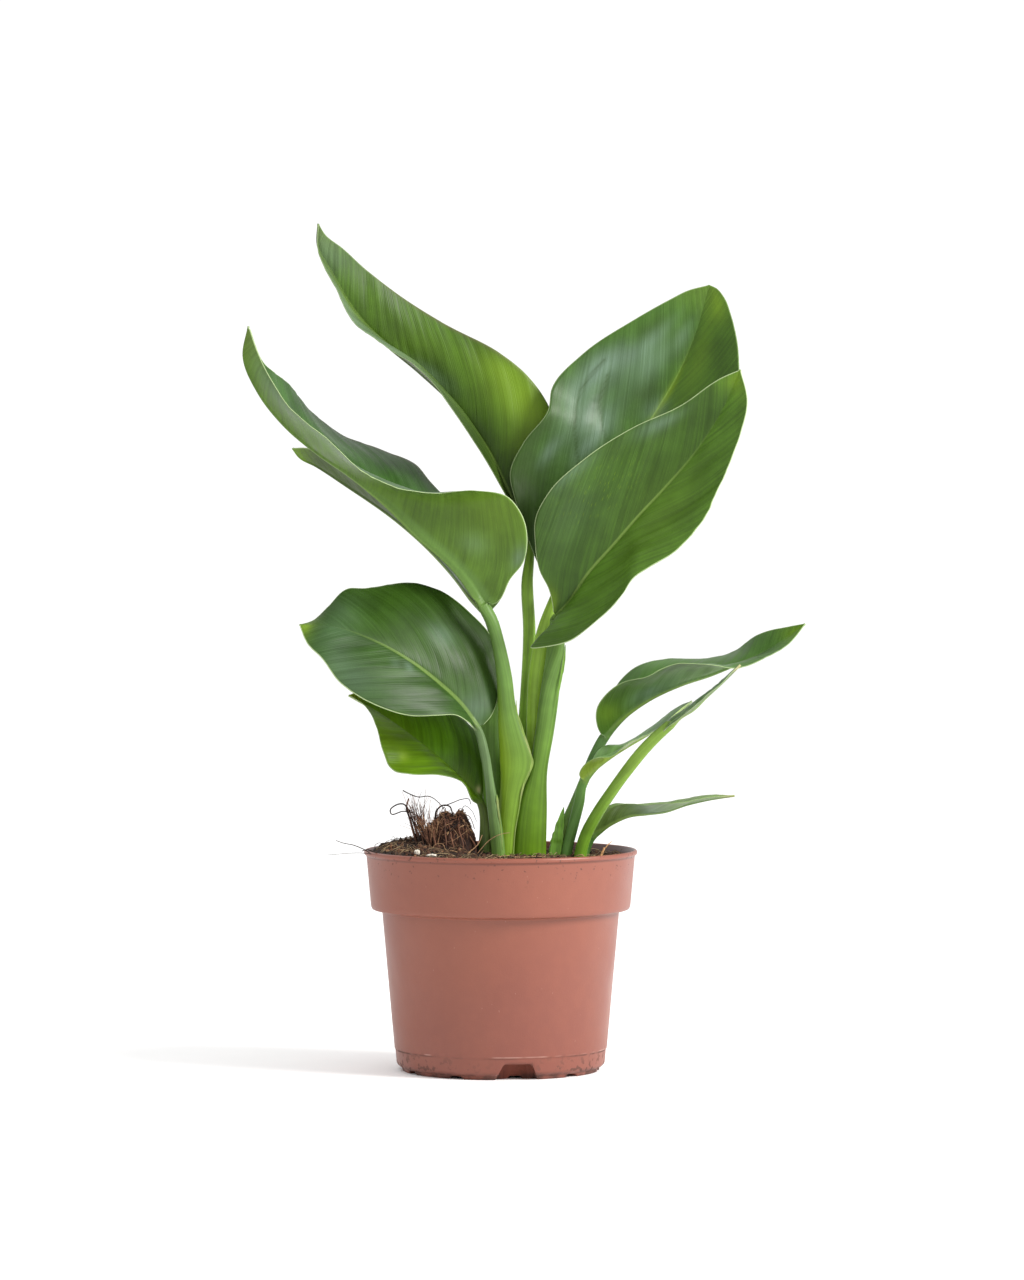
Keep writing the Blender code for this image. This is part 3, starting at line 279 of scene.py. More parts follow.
# Colours of each leaf: the left and right half of its upper and under face, its tip, and its stalk from
# the soil to the blade, where one colour stands for both. Spots are soft patches on the blade: place
# across (-1 left margin, 1 right margin), place along (0 base, 1 tip, below 0 on the stalk), half sizes
# across and along, and strength. The painted_glow, painted_sheen and shade spots are painted light:
# painted glow where light shines through the blade and painted highlights, painted reflection of the pale
# sky, and painted shade. Tan and dots are the leaf's own colour. Creases are lines of such places,
# real dents that are also darkened as painted shade.
LOOKS = {
    "leaf_main_upper_left": dict(
        slot="leaf_light", upper="#465D20 #38530F", under="#4D5D29", tip="#43571E", stalk="#6B9416 #6E8E34",
        streak=0.2, slant=1.6, margin=0.35, tan_colour="#54463A",
        painted_glow=[(0.85, 0.44, 0.25, 0.07, 0.5), (0.6, 0.38, 0.3, 0.08, 0.25), (0.35, 0.6, 0.4, 0.12, 0.1),
            (0.8, 0.32, 0.3, 0.07, 0.6), (0.5, 0.25, 0.25, 0.04, 0.4)],
        shade=[(-1.0, 0.3, 0.9, 0.24, 1.0), (0.06, 0.31, 0.12, 0.06, 0.7), (0.2, 0.52, 0.25, 0.05, 0.3),
            (0.3, 0.68, 0.3, 0.05, 0.25)],
        painted_sheen=[(-0.9, 0.7, 0.35, 0.2, 0.55), (0.4, 0.93, 0.8, 0.07, 0.3), (0.1, 0.5, 0.12, 0.06, 0.3)],
        tan=[(1.0, 0.62, 0.04, 0.22, 0.6)],
    ),
    "leaf_main_upper_right": dict(
        slot="leaf_dark", upper="#345218 #385516", under="#566F3D", tip="#46611B", stalk="#7FA61E #7A9A38",
        slant=2.0, margin=0.4,
        painted_glow=[(0.6, 0.93, 0.3, 0.05, 0.4), (0.02, 0.62, 0.04, 0.11, 0.9), (0.25, 0.78, 0.2, 0.12, 0.2)],
        shade=[(-0.8, 0.3, 0.3, 0.08, 0.5), (-0.95, 0.2, 0.2, 0.08, 0.7), (-0.95, 0.43, 0.1, 0.1, 0.6),
            (-0.56, 0.56, 0.05, 0.06, 0.7), (-0.62, 0.7, 0.1, 0.03, 0.5), (-0.7, 0.8, 0.14, 0.05, 0.45),
            (-0.2, 0.63, 0.14, 0.05, 0.5)],
        painted_sheen=[(-0.6, 0.55, 0.3, 0.16, 0.3), (-0.76, 0.56, 0.12, 0.09, 0.5), (-0.58, 0.49, 0.1, 0.06, 0.4),
            (-0.42, 0.42, 0.08, 0.05, 0.5), (-0.74, 0.66, 0.14, 0.06, 0.7), (-0.38, 0.5, 0.1, 0.06, 0.6),
            (-0.55, 0.76, 0.12, 0.08, 0.55), (-0.35, 0.72, 0.15, 0.07, 0.5), (-0.2, 0.83, 0.12, 0.05, 0.3),
            (0.0, 0.6, 0.12, 0.04, 0.5), (-0.72, 0.38, 0.06, 0.04, 0.5)],
        creases=[[(-0.8, 0.66), (-0.76, 0.58), (-0.66, 0.48), (-0.4, 0.38)],
            [(-0.62, 0.63), (-0.5, 0.55), (-0.25, 0.45)]],
    ),
    "leaf_main_front_right": dict(
        # The right half of the upper face is lighter: partly its own colour, partly painted light that evens
        # out the shade of the fold.
        slot="leaf_mid", upper="#365118 #44641C", under="#546C3C", tip="#4E6F20", stalk="#5A7E0A #537033",
        slant=2.2, margin=1.0, streak=0.17,
        painted_glow=[(-0.86, 0.05, 0.3, 0.05, 0.6), (0.0, 0.97, 0.7, 0.04, 0.6), (0.3, 0.5, 0.5, 0.2, 0.12)],
        shade=[(-0.75, 0.3, 0.3, 0.1, 0.3), (0.95, 0.18, 0.2, 0.1, 0.35)],
        painted_sheen=[(-0.83, 0.72, 0.14, 0.07, 0.55), (-0.98, 0.46, 0.1, 0.07, 0.45),
            (-0.65, 0.34, 0.35, 0.12, 0.1)],
        dots=[(-0.6, 0.45, 0.35, 0.14, 1.0)],
    ),
    "leaf_main_left": dict(
        slot="leaf_mid", upper="#31511E", under="#4B6721", tip="#566D29", stalk="#6E8E22 #567437",
        margin=0.9, ridge=(8.0, 0.8), tan_colour="#54463A",
        painted_glow=[(-0.8, 0.26, 0.4, 0.08, 0.25), (0.85, -0.52, 0.5, 0.2, 0.95), (0.4, -0.75, 0.5, 0.2, 0.4)],
        shade=[(-0.36, 0.27, 0.25, 0.06, 0.4), (-0.55, 0.14, 0.15, 0.03, 0.2),
            (-0.5, 0.45, 0.3, 0.05, 0.2)],
        painted_sheen=[(-0.42, 0.19, 0.14, 0.03, 0.25), (-0.92, 0.14, 0.1, 0.025, 0.5),
            (-0.8, 0.84, 0.4, 0.1, 0.35), (-0.85, 0.66, 0.35, 0.1, 0.3), (-0.8, 0.42, 0.3, 0.05, 0.25)],
        tan=[(1.0, 0.5, 0.05, 0.16, 0.6)],
    ),
    "leaf_main_left_under": dict(
        # Its upper face is lighter than its under face: painted light on a strip that lies in shade.
        slot="leaf_mid", upper="#5C7838", under="#37491A", tip="#5B7A1C", stalk="#4C7022 #4F6D2F",
        painted_sheen=[(-0.4, 0.22, 0.6, 0.08, 0.5), (-0.4, 0.4, 0.5, 0.1, 0.3)],
    ),
    "leaf_left_broad": dict(
        slot="leaf_dark", upper="#27420F #29430E", under="#3A5226", tip="#405712", stalk="#567529 #586F46",
        rib=0.45, slant=1.2, margin=0.9,
        painted_glow=[(-0.3, 0.97, 0.8, 0.03, 0.6)],
        shade=[(0.75, 0.3, 0.3, 0.12, 0.4), (-0.3, 0.3, 0.3, 0.08, 0.3)],
        painted_sheen=[(0.1, 0.83, 0.7, 0.1, 0.25), (-0.8, 0.68, 0.3, 0.14, 0.25), (0.47, 0.42, 0.13, 0.05, 0.45),
            (-0.12, 0.46, 0.08, 0.025, 0.6), (-0.2, 0.52, 0.08, 0.025, 0.3), (0.3, 0.1, 0.4, 0.07, 0.4)],
    ),
    "leaf_left_low": dict(
        slot="leaf_light", upper="#4B6C02 #3B5E02", under="#57790D", tip="#687C05", stalk="#3C5C2A #4C5C26",
        rib=0.0, streak=0.25,
        painted_glow=[(-0.5, 0.75, 0.7, 0.25, 0.45), (-0.58, 0.53, 0.1, 0.03, 0.9), (0.1, 0.15, 0.2, 0.1, 0.4)],
        shade=[(0.3, 0.25, 0.6, 0.1, 0.4), (-0.2, 0.4, 0.15, 0.05, 0.3)],
        tan=[(0.45, 0.08, 0.2, 0.02, 0.7)],
    ),
    "leaf_right_tall": dict(
        slot="leaf_mid", upper="#43652A", under="#436222", tip="#466B17", stalk="#76963A #4C6C38",
        painted_glow=[(0.6, 0.12, 0.5, 0.05, 0.3), (0.0, 0.94, 0.9, 0.06, 0.4)],
        painted_sheen=[(0.3, 0.4, 0.5, 0.14, 0.3), (0.2, 0.27, 0.2, 0.08, 0.45)],
        shade=[(0.8, 0.45, 0.2, 0.1, 0.4), (0.7, 0.24, 0.25, 0.06, 0.35), (-0.3, 0.7, 0.5, 0.12, 0.3)],
    ),
    "leaf_right_twisted": dict(
        slot="leaf_dark", upper="#6C9150", under="#7E953A", tip="#5F6F45", stalk="#4C7034 #547838",
        margin=0.3,
        painted_sheen=[(0.0, 0.75, 1.0, 0.2, 0.6), (0.5, 0.45, 0.5, 0.1, 0.4)],
        painted_glow=[(0.5, 0.12, 0.5, 0.08, 0.3)],
    ),
    "leaf_right_stem": dict(
        slot="leaf_light", upper="#4A692C", under="#6B7650", tip="#A29565", stalk="#5C8420 #6E8C34",
        margin=0.3,
        painted_sheen=[(0.0, 0.5, 1.0, 0.4, 0.6)],
    ),
    "leaf_right_low": dict(
        slot="leaf_dark", upper="#5D7831", under="#536B2E", tip="#727433", stalk="#3F6426",
        margin=0.25,
        painted_sheen=[(0.2, 0.45, 0.9, 0.12, 0.6), (0.2, 0.75, 0.9, 0.2, 0.3)],
    ),
}
# Roots and hairs that stand clear of the knot, the dark ones first: points of the path, and radius.
DARK_ROOTS = 9
LOOSE_ROOTS = [
    ([(-46.5, -10, 132.8), (-49.4, -9, 136.6), (-53, -8, 136.3), (-56.3, -8, 133.4), (-55.9, -8, 131.9),
      (-50.3, -9, 133.2), (-46, -10, 132.2)], 0.45),
    ([(-50, -9, 143.8), (-46.6, -9, 142.2), (-42, -9, 140.6), (-37.4, -8, 140.6), (-31.8, -8, 136.4),
      (-29, -9, 132.8)], 0.32),
    ([(-33.5, -8, 128.8), (-32.5, -9, 133.8), (-29.5, -9, 136.2), (-26, -9, 135.8),
      (-24.5, -9, 130.8)], 0.55),
    ([(-29, -9, 135.8), (-24, -9, 137.8), (-20, -8, 139.2), (-16.5, -8, 139.2), (-15.4, -8, 136.3)], 0.3),
    ([(-21, -9, 130.8), (-18, -9, 135.8), (-14.5, -9, 132.8), (-12, -10, 127.8)], 0.2),
    ([(-26, -14, 122.8), (-21, -14, 126.8), (-17, -14, 124.8), (-14, -12, 118.8)], 0.3),
    ([(-66, -20, 112), (-70, -22, 114.6), (-76, -22, 116.5), (-84, -22, 119)], 0.3),
    ([(-64, -24, 112), (-71, -26, 112.9), (-79, -27, 112.6), (-88, -27, 112)], 0.18),
    ([(-60, -26, 112), (-68, -30, 114.6), (-70.5, -31, 114.2)], 0.4),
    ([(-33, -20, 112), (-34, -18, 116), (-30, -18, 117), (-27, -20, 112)], 0.2),
    ([(-18.8, -22, 110.4), (-15, -21, 114), (-11, -20, 118), (-9.1, -19, 121.9)], 0.3),
    ([(-12, -20, 112), (-10.5, -20, 114), (-5.9, -19.5, 118.6), (0.6, -18.5, 121.9),
      (4.8, -18, 122.7)], 0.2),
    ([(-30, -22, 112), (-25, -24, 113.8), (-20, -24, 113), (-15, -25, 110)], 0.25),
    ([(-6, -24, 109.5), (2, -23, 111.2), (10, -20, 110.6), (20, -18, 110.5), (28, -17, 109)], 0.3),
    ([(0, -26, 109), (6, -25, 110.5), (14, -24, 110), (24, -25, 109)], 0.3),
    ([(36, -22, 108), (38, -24, 111), (42, -25, 112), (44, -24, 108)], 0.3),
]
# Dry or pale edges of the leaf sheaths: how green each is, and the points of its path with the half
# width of the strip at each.
SHEATH_EDGES = [
    (0.5, [(7.9, -9.4, 190, 0.15), (8.3, -9.5, 183, 0.5), (10.0, -9.9, 177, 0.9), (12.4, -9.4, 170, 0.7),
           (15.0, -9.0, 163, 0.5), (16.0, -8.7, 158, 0.7), (14.4, -9.1, 153, 0.7), (11.6, -9.3, 146, 0.5),
           (9.4, -9.0, 134, 0.3), (7.2, -9.1, 121, 0.25), (6.4, -9.1, 107, 0.2)]),
    (0.9, [(33.2, -7.2, 218, 0.15), (32.2, -7.9, 209, 0.7), (30.6, -8.3, 200, 0.6), (29.2, -8.4, 192, 0.3),
           (28.4, -8.4, 184, 0.1)]),
    (1.0, [(32.4, -2.8, 135, 0.15), (31.0, -3.2, 129, 1.5), (29.2, -3.6, 120, 2.7), (28.0, -3.6, 113, 3.0),
           (27.2, -3.6, 107, 2.8)]),
    (0.5, [(-1.9, -15.7, 142, 0.1), (-1.6, -15.8, 139, 0.5), (-1.0, -15.9, 133, 0.35),
           (0.2, -16.0, 124, 0.25), (1.0, -16.0, 114, 0.15)]),
]
# The first three leaf colours are painted light: a glow green for light shining through a blade and for
# painted highlights, which also colours the leaf's own dots, a painted bluish grey sheen, and painted shade.
DOTS_AND_PAINTED_GLOW = "#6A8718"
PAINTED_SHEEN = "#6B8071"
PAINTED_SHADE = "#24370B"
MARGIN = "#A4B686"
RIB = "#7A9447"
PAPER = "#A39C70"
PAPER_DULL = "#8A9A4C"
PAPER_GREEN = "#5F8A2A"
PLASTIC = "#814735"
PLASTIC_DULL = "#753F32"
PLASTIC_WARM = "#8C503B"
# Painted shade for the plastic in the groove under the rim and on the inside wall.
PLASTIC_PAINTED_SHADE = "#431D14"
CHALK = "#A0786C"
DRY_PEAT = "#3A2822"

# Peat, old roots and straw: the dark, middle and light colour, and the roughness.
PEATS = {
    "moist_peat": ("#22160E", "#4E3222", "#7E5A3C", 0.95),
    "peat_crumbs": ("#20140D", "#513424", "#90694A", 0.95),
    "peat_fibre": ("#33231A", "#6B523B", "#A08A68", 0.85),
    "root_knot": ("#1A100B", "#3C2419", "#6E4A34", 0.95),
    "dry_root_fibre": ("#241610", "#6A4532", "#A68260", 0.85),
    "straw": ("#8A6440", "#B98B5C", "#D9B98A", 0.7),
}

# The studio, in metres: where the lamp and the camera stand, and what they look at.
LAMP_PLACE, LAMP_AIM = (2.1, -0.95, 1.4), (0, 0, 0.2)
CAMERA_PLACE, CAMERA_AIM = (0.0058, -2.6, 0.288), (0.0058, 0, 0.2204)
CAMERA_LENS = 142.8
SKY_STRENGTH = 1.08

# What every point of a leaf carries for its material.
# Of the spots, painted_glow, shade and painted_sheen are painted light and painted shade; dots and tan are
# the leaf's own colour.
SPOTS = ("painted_glow", "shade", "painted_sheen", "dots", "tan")
LEAF_VALUES = ("across", "along", "off_rib", "edge", "vein", "face", "crease", *SPOTS)

# What keeps the margin line off the stalk, and the veins of the two halves apart in the noise.
OFF_EDGE = 9.0
OTHER_HALF = 300.0

# Ripples of a blade: strength, length along the rib, breadth, shift of the right half, and seed step.
RIPPLES = [(1.0, 3.0, 35.0, 40, 0), (1.6, 9.0, 28.0, 20, 50), (3.6, 24.0, 15.0, 10, 90)]

# Random values each way in the noise, points or rings along each kind of shape, and steps round it.
LATTICE = 64
CORNER_POINTS = 6
CREASE_POINTS = 25
ROOT_POINTS = 14
HAIR_POINTS = 20
FIBRE_POINTS = 8
STRAW_POINTS = 10
SHEATH_POINTS = 70
POT_RINGS = 56
SOIL_RINGS = 84
SOIL_STEPS = 256
CLUMP_RINGS = 34
CLUMP_STEPS = 110
BALL_RINGS = 11
BALL_STEPS = 24
FLOOR_STEPS = 96

# Perlite on the soil: x, y, and half sizes. Straw: points of the paths, and radius.
PERLITE = [
    (-42.0, -45.0, (1.5, 1.5, 1.5)),
    (-34.8, -47.0, (3.0, 1.8, 0.9)),
    (40.0, -30.0, (0.9, 0.8, 0.7)),
    (12.0, 38.0, (1.2, 1.0, 0.9)),
    (-30.0, 35.0, (1.3, 1.5, 1.0)),
    (50.0, 15.0, (1.0, 1.0, 0.8)),
]
STRAW = [
    ([(49.0, -24, 107.5), (50.8, -24, 111), (52.8, -24, 115.5)], 0.75),
    ([(53.0, -24, 115), (54.5, -24, 117), (56.5, -23, 118.5)], 0.3),
    ([(44.0, -30, 108), (50.0, -31, 109.8), (57.0, -29, 108.6)], 0.25),
]


def colour(text):
    """An sRGB hex colour as linear red, green, blue and alpha."""
    parts = np.array([int(text[i : i + 2], 16) for i in (1, 3, 5)]) / 255
    linear = np.where(parts <= 0.04045, parts / 12.92, ((parts + 0.055) / 1.055) ** 2.4)
    return (*linear.tolist(), 1.0)


def pair(text):
    """The two colours that a text names, which are the same where it names one."""
    return [colour(part) for part in (text.split() * 2)[:2]]


def smooth_step(value):
    """The value held between 0 and 1, with a soft start and end."""
    value = np.clip(value, 0.0, 1.0)
    return value * value * (3 - 2 * value)


def unit(vectors):
    """The vectors at a length of 1."""
    return vectors / np.maximum(np.linalg.norm(vectors, axis=-1, keepdims=True), 1e-9)


def around(steps):
    """Equal steps of angle round a circle."""
    return np.arange(steps) * math.tau / steps


def lengths(points):
    """The distance from each point to the next."""
    return np.linalg.norm(np.diff(points[:, :3], axis=0), axis=1)


def bowed(start, corner, end, t):
    """Curves from start to end, each drawn towards its corner."""
    return (1 - t) ** 2 * start[:, None] + 2 * t * (1 - t) * corner[:, None] + t**2 * end[:, None]


def scattered(random, count, reach):
    """Places spread evenly over a disc."""
    far = reach * np.sqrt(random.uniform(0, 1, count))
    angle = random.uniform(0, math.tau, count)
    return far * np.cos(angle), far * np.sin(angle)


def soft_noise(x, y, seed):
    """Smooth noise from -1 to 1: random values on a square lattice, blended between its points."""
    values = np.random.default_rng(seed).uniform(-1, 1, (LATTICE, LATTICE))
    i, j = np.floor(x).astype(int), np.floor(y).astype(int)
    s, t = smooth_step(x - i), smooth_step(y - j)
    here, right = i % LATTICE, (i + 1) % LATTICE
    rows = (j % LATTICE, (j + 1) % LATTICE)
    low, high = (values[here, row] * (1 - s) + values[right, row] * s for row in rows)
    return low * (1 - t) + high * t


def smooth_curve(points, fractions):
    """A cubic curve through the points, read at fractions of the length of its chords."""
    points = np.asarray(points, float)
    chords = lengths(points)
    place = np.concatenate([[0.0], np.cumsum(chords)]) / chords.sum()
    slopes = np.diff(points, axis=0) / np.diff(place)[:, None]
    before = np.diff(place)[:-1, None]
    after = np.diff(place)[1:, None]
    inner = (slopes[:-1] * after + slopes[1:] * before) / (before + after)
    tangents = np.concatenate([slopes[:1], inner, slopes[-1:]])
    index = np.clip(np.searchsorted(place, fractions, "right") - 1, 0, len(points) - 2)
    span = (place[index + 1] - place[index])[:, None]
    t = (fractions - place[index])[:, None] / span
    return (
        points[index] * (2 * t**3 - 3 * t**2 + 1)
        + tangents[index] * span * (t**3 - 2 * t**2 + t)
        + points[index + 1] * (3 * t**2 - 2 * t**3)
        + tangents[index + 1] * span * (t**3 - t**2)
    )


def curves(paths, count):
    """Each path as a smooth curve of so many points."""
    return np.stack([smooth_curve(points, np.linspace(0, 1, count)) for points in paths])


def grid_faces(rows, columns, start=0, ring=False):
    """The quads of a grid of points numbered row by row, closed round each row for a ring."""
    row = np.arange(rows - 1)[:, None] * columns
    here = np.arange(columns if ring else columns - 1)[None, :]
    after = (here + 1) % columns
    quads = np.stack([row + here, row + after, row + columns + after, row + columns + here], axis=-1)
    return quads.reshape(-1, 4) + start


def capped(rings, steps):
    """The faces of a stack of rings that is closed by a flat face at both ends."""
    first = np.arange(steps)[None]
    return [grid_faces(rings, steps, ring=True), first[:, ::-1], first + (rings - 1) * steps]


def add_piece(name, points, faces, slot, material, nodes=(), **values):
    """A smooth mesh from points in millimetres, arrays of faces and named values per point."""
    mesh = bpy.data.meshes.new(name)
    points = np.asarray(points, float).reshape(-1, 3)
    corners = np.concatenate([part.ravel() for part in faces])
    sizes = np.concatenate([np.full(len(part), part.shape[1]) for part in faces])
    mesh.vertices.add(len(points))
    mesh.vertices.foreach_set("co", (points * MM).ravel())
    mesh.loops.add(len(corners))
    mesh.loops.foreach_set("vertex_index", corners)
    mesh.polygons.add(len(sizes))
    mesh.polygons.foreach_set("loop_start", np.cumsum(sizes) - sizes)
    mesh.update(calc_edges=True)
    for key, value in values.items():
        layer = mesh.attributes.new(key, "FLOAT", "POINT")
        layer.data.foreach_set("value", np.ravel(value).astype(np.float32))
    mesh.validate()
    mesh.shade_smooth()
    mesh.materials.append(material)
    piece = bpy.data.objects.new(name, mesh)
    bpy.context.scene.collection.objects.link(piece)
    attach(piece, "root")
    if nodes:
        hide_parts(*nodes)


def tubes(paths, radius, thin, sides):
    """Round tubes along many paths of equally many points: points on a circle square to each path,
    carried along it, with both ends closed. Each radius shrinks to a thin part of itself."""
    count, samples = paths.shape[:2]
    forward = unit(np.gradient(paths, axis=1))
    side = unit(np.cross(forward, np.array([0.31, 0.93, 0.17])))
    up = np.cross(side, forward)
    angle = around(sides)
    turn = np.cos(angle)[:, None] * side[:, :, None] + np.sin(angle)[:, None] * up[:, :, None]
    radius = np.asarray(radius)[:, None] * np.linspace(1.0, thin, samples)
    points = paths[:, :, None] + radius[:, :, None, None] * turn
    shift = (np.arange(count) * samples * sides)[:, None, None]
    faces = [(face[:, ::-1] + shift).reshape(-1, face.shape[1]) for face in capped(samples, sides)]
    return points.reshape(-1, 3), faces


def join(parts):
    """Several sets of points and faces as one."""
    points = np.concatenate([part[0] for part in parts])
    starts = np.cumsum([0] + [len(part[0]) for part in parts])
    return points, [face + start for part, start in zip(parts, starts) for face in part[1]]


def hill(x, y, height, middle, spread):
    """A soft hill: its height times a bell curve of the distance from its middle."""
    return height * np.exp(-((x - middle[0]) / spread[0]) ** 2 / 2 - ((y - middle[1]) / spread[1]) ** 2 / 2)


def per_part(values, points):
    """One value for each of equally large parts, given to every point of its part."""
    return np.repeat(values, len(points) // len(values))


# Materials

RGBA = {"data_type": "RGBA"}
DARKEN = {"data_type": "RGBA", "blend_type": "MULTIPLY"}
SMOOTH = {"interpolation_type": "SMOOTHSTEP"}
TIMES = {"operation": "MULTIPLY"}
MUL_ADD = {"operation": "MULTIPLY_ADD"}


def socket(sockets, key):
    """The socket of that name or number among those that the node shows."""
    shown = [item for item in sockets if item.enabled]
    return shown[key] if isinstance(key, int) else next(item for item in shown if item.name == key)


def add(tree, kind, inputs=(), output=0, **settings):
    """Adds a node, makes its settings, sets or links its inputs, which are given by name or in their
    order, and returns one of its outputs."""
    node = tree.nodes.new("ShaderNode" + kind)
    for key, value in settings.items():
        setattr(node, key, value)
    for key, value in inputs.items() if isinstance(inputs, dict) else enumerate(inputs):
        into = socket(node.inputs, key)
        if isinstance(value, bpy.types.NodeSocket):
            tree.links.new(value, into)
        else:
            into.default_value = value
    return socket(node.outputs, output)


def new_material(name, **settings):
    """A material, whose Principled shader has these values, its nodes, and the place on the object."""
    material = bpy.data.materials.new(name)
    material.use_nodes = True
    tree = material.node_tree
    for key, value in settings.items():
        key = key.replace("_", " ").title().replace("Ior", "IOR")
        tree.nodes["Principled BSDF"].inputs[key].default_value = value
    return material, tree, add(tree, "TexCoord", output="Object")


def finished(material, base, roughness, height, depth_mm):
    """The material once colour, roughness and a bump of a real depth are linked to its shader."""
    tree = material.node_tree
    bump = add(tree, "Bump", {"Strength": 1.0, "Distance": depth_mm * MM, "Height": height})
    for key, value in (("Base Color", base), ("Roughness", roughness), ("Normal", bump)):
        tree.links.new(value, tree.nodes["Principled BSDF"].inputs[key])
    return material


def finished_dull(material, base, grain, light, roughness, depth_mm):
    """The same for a dull material: its lightness, roughness and bump all follow one grain."""
    tree = material.node_tree
    light, roughness = (
        add(tree, "MapRange", [grain, 0.3, 0.7, *ends], **SMOOTH) for ends in (light, roughness))
    base = add(tree, "Mix", [1.0, base, light], **DARKEN)
    return finished(material, base, roughness, grain, depth_mm)


def layered(tree, base, layers):
    """The base colour under its layers, each of which is an amount, a share of it and a colour."""
    for amount, share, text in layers:
        amount = add(tree, "Math", [amount, share], **TIMES)
        base = add(tree, "Mix", [amount, base, colour(text)], **RGBA)
    return base


def leaf_material(name, look, settings):
    """Waxy leaf: a thin green blade under a satin cuticle. Fine veins run from the rib to the margin,
    and the rib and the margin are pale. Over it lie soft patches of painted light: painted glow where light
    shines through the blade, painted bluish grey sheen and painted shade, and the creases are darkened as
    painted shade."""
    material, tree, own_place = new_material(
        name, ior=1.42, specular_ior_level=0.22, coat_weight=settings.wax, coat_roughness=0.3)
    across, along, off_rib, edge, vein, face, crease, painted_glow, shade, painted_sheen, dots, tan = (
        add(tree, "Attribute", output="Fac", attribute_name=key) for key in LEAF_VALUES)
    width, end = look.get("ridge", (2.0, 0.2))
    half, above, near_tip, up_stalk, on_blade, rib_fade, margin, width, below, ridge_fade = (
        add(tree, "MapRange", ends, **SMOOTH) for ends in (
            (across, -0.05, 0.05),
            (face, -0.4, 0.4),
            (along, 0.86, 1.0),
            (along, -1.0, -0.15),
            (along, -0.02, 0.05),
            (along, 0.4, 0.9, look.get("rib", 0.6), 0.0),
            (edge, 0.1, 0.65, look.get("margin", 0.6), 0.0),
            (along, -0.05, end, width, 0.2),
            (face, -0.4, 0.4, 0.8, 0.0),
            (along, 0.0, end, 1.0, 0.0)))

    under, upper, stalk = (
        add(tree, "Mix", [amount, *pair(look[part])], **RGBA)
        for part, amount in (("under", half), ("upper", half), ("stalk", up_stalk)))
    base = add(tree, "Mix", [above, under, upper], **RGBA)
    base = add(tree, "Mix", [near_tip, base, colour(look["tip"])], **RGBA)
    base = add(tree, "Mix", [on_blade, stalk, base], **RGBA)

    # Streaks 2 to 4 mm wide along the veins, the veins themselves, and clouds about 16 mm wide.
    streak = look.get("streak", 0.13)
    drawn_out = add(tree, "Math", [off_rib, 0.09], **TIMES)
    place = add(tree, "CombineXYZ", [vein, drawn_out, face])
    wide = add(tree, "TexNoise", {"Vector": place, "Scale": 0.42, "Detail": 2.0, "Roughness": 0.6})
    fine = add(tree, "TexNoise", {"Vector": place, "Scale": 1.6, "Detail": 1.0})
    turns = add(tree, "Math", [vein, math.tau / (settings.vein_spacing / MM)], **TIMES)
    wave = add(tree, "Math", [turns], operation="SINE")
    cloud = add(tree, "TexNoise", {"Vector": own_place, "Scale": 60.0, "Detail": 3.0})
    light, lines, cloud, streaked, roughness = (
        add(tree, "MapRange", ends, **SMOOTH) for ends in (
            (wide, 0.3, 0.7, 1 - streak, 1 + streak),
            (fine, 0.3, 0.7, -0.04, 0.04),
            (cloud, 0.3, 0.7, 0.84, 1.16),
            (wide, 0.25, 0.75, 0.7, 1.15),
            (wide, 0.3, 0.7, 0.38, 0.48)))
    light = add(tree, "Math", [light, lines], operation="ADD")
    light = add(tree, "Math", [wave, 0.012, light], **MUL_ADD)
    for amount in (light, cloud):
        base = add(tree, "Mix", [1.0, base, amount], **DARKEN)

    # The painted sheen follows the streaks, a crease is darkened 2 mm wide as painted shade, and the dots
    # stand along the veins.
    painted_sheen = add(tree, "Math", [painted_sheen, streaked], use_clamp=True, **TIMES)
    crease = add(tree, "Math", [crease, 5.0], operation="POWER")
    grid = add(tree, "CombineXYZ", [vein, add(tree, "Math", [off_rib, 0.8], **TIMES)])
    dot = add(tree, "TexVoronoi", {"Vector": grid, "Scale": 0.62, "Randomness": 0.7})
    dot = add(tree, "MapRange", [dot, 0.12, 0.3, 0.5, 0.0], **SMOOTH)

    # The rib narrows from 3 mm at the base and fades before the tip. The stalk runs on under the blade as
    # a ridge that narrows and fades. The margin line is 0.5 mm wide.
    rib = add(tree, "Math", [1.02, along], operation="SUBTRACT")
    rib = add(tree, "Math", [rib, 1.5, 0.15], **MUL_ADD)
    rib, ridge = (add(tree, "Math", [off_rib, size], operation="DIVIDE") for size in (rib, width))
    rib = add(tree, "MapRange", [rib, 0.55, 1.15, 1.0, 0.0], **SMOOTH)
    rib = add(tree, "Math", [rib, rib_fade], **TIMES)
    ridge = add(tree, "MapRange", [ridge, 0.6, 1.3, 1.0, 0.0], **SMOOTH)
    for share in (below, ridge_fade):
        ridge = add(tree, "Math", [ridge, share], **TIMES)

    # Layers: painted_glow, shade and painted_sheen are painted light and shade, the crease adds painted
    # shade, and the dots, rib, margin, ridge and tan are the leaf's own colour.
    base = layered(tree, base, (
        (painted_glow, 1.0, DOTS_AND_PAINTED_GLOW),
        (shade, 1.0, PAINTED_SHADE),
        (painted_sheen, 0.75, PAINTED_SHEEN),
        (crease, 0.6, PAINTED_SHADE),
        (dot, dots, DOTS_AND_PAINTED_GLOW),
        (rib, on_blade, RIB),
        (margin, on_blade, MARGIN),
        (ridge, on_blade, look["stalk"].split()[-1]),
        (tan, 1.0, look.get("tan_colour", PAPER))))
    roughness = add(tree, "Math", [painted_sheen, -0.04, roughness], **MUL_ADD)
    height = add(tree, "Math", [fine, 0.3, wide], **MUL_ADD)
    height = add(tree, "Math", [wave, 0.06, height], **MUL_ADD)
    return finished(material, base, roughness, height, 0.16)


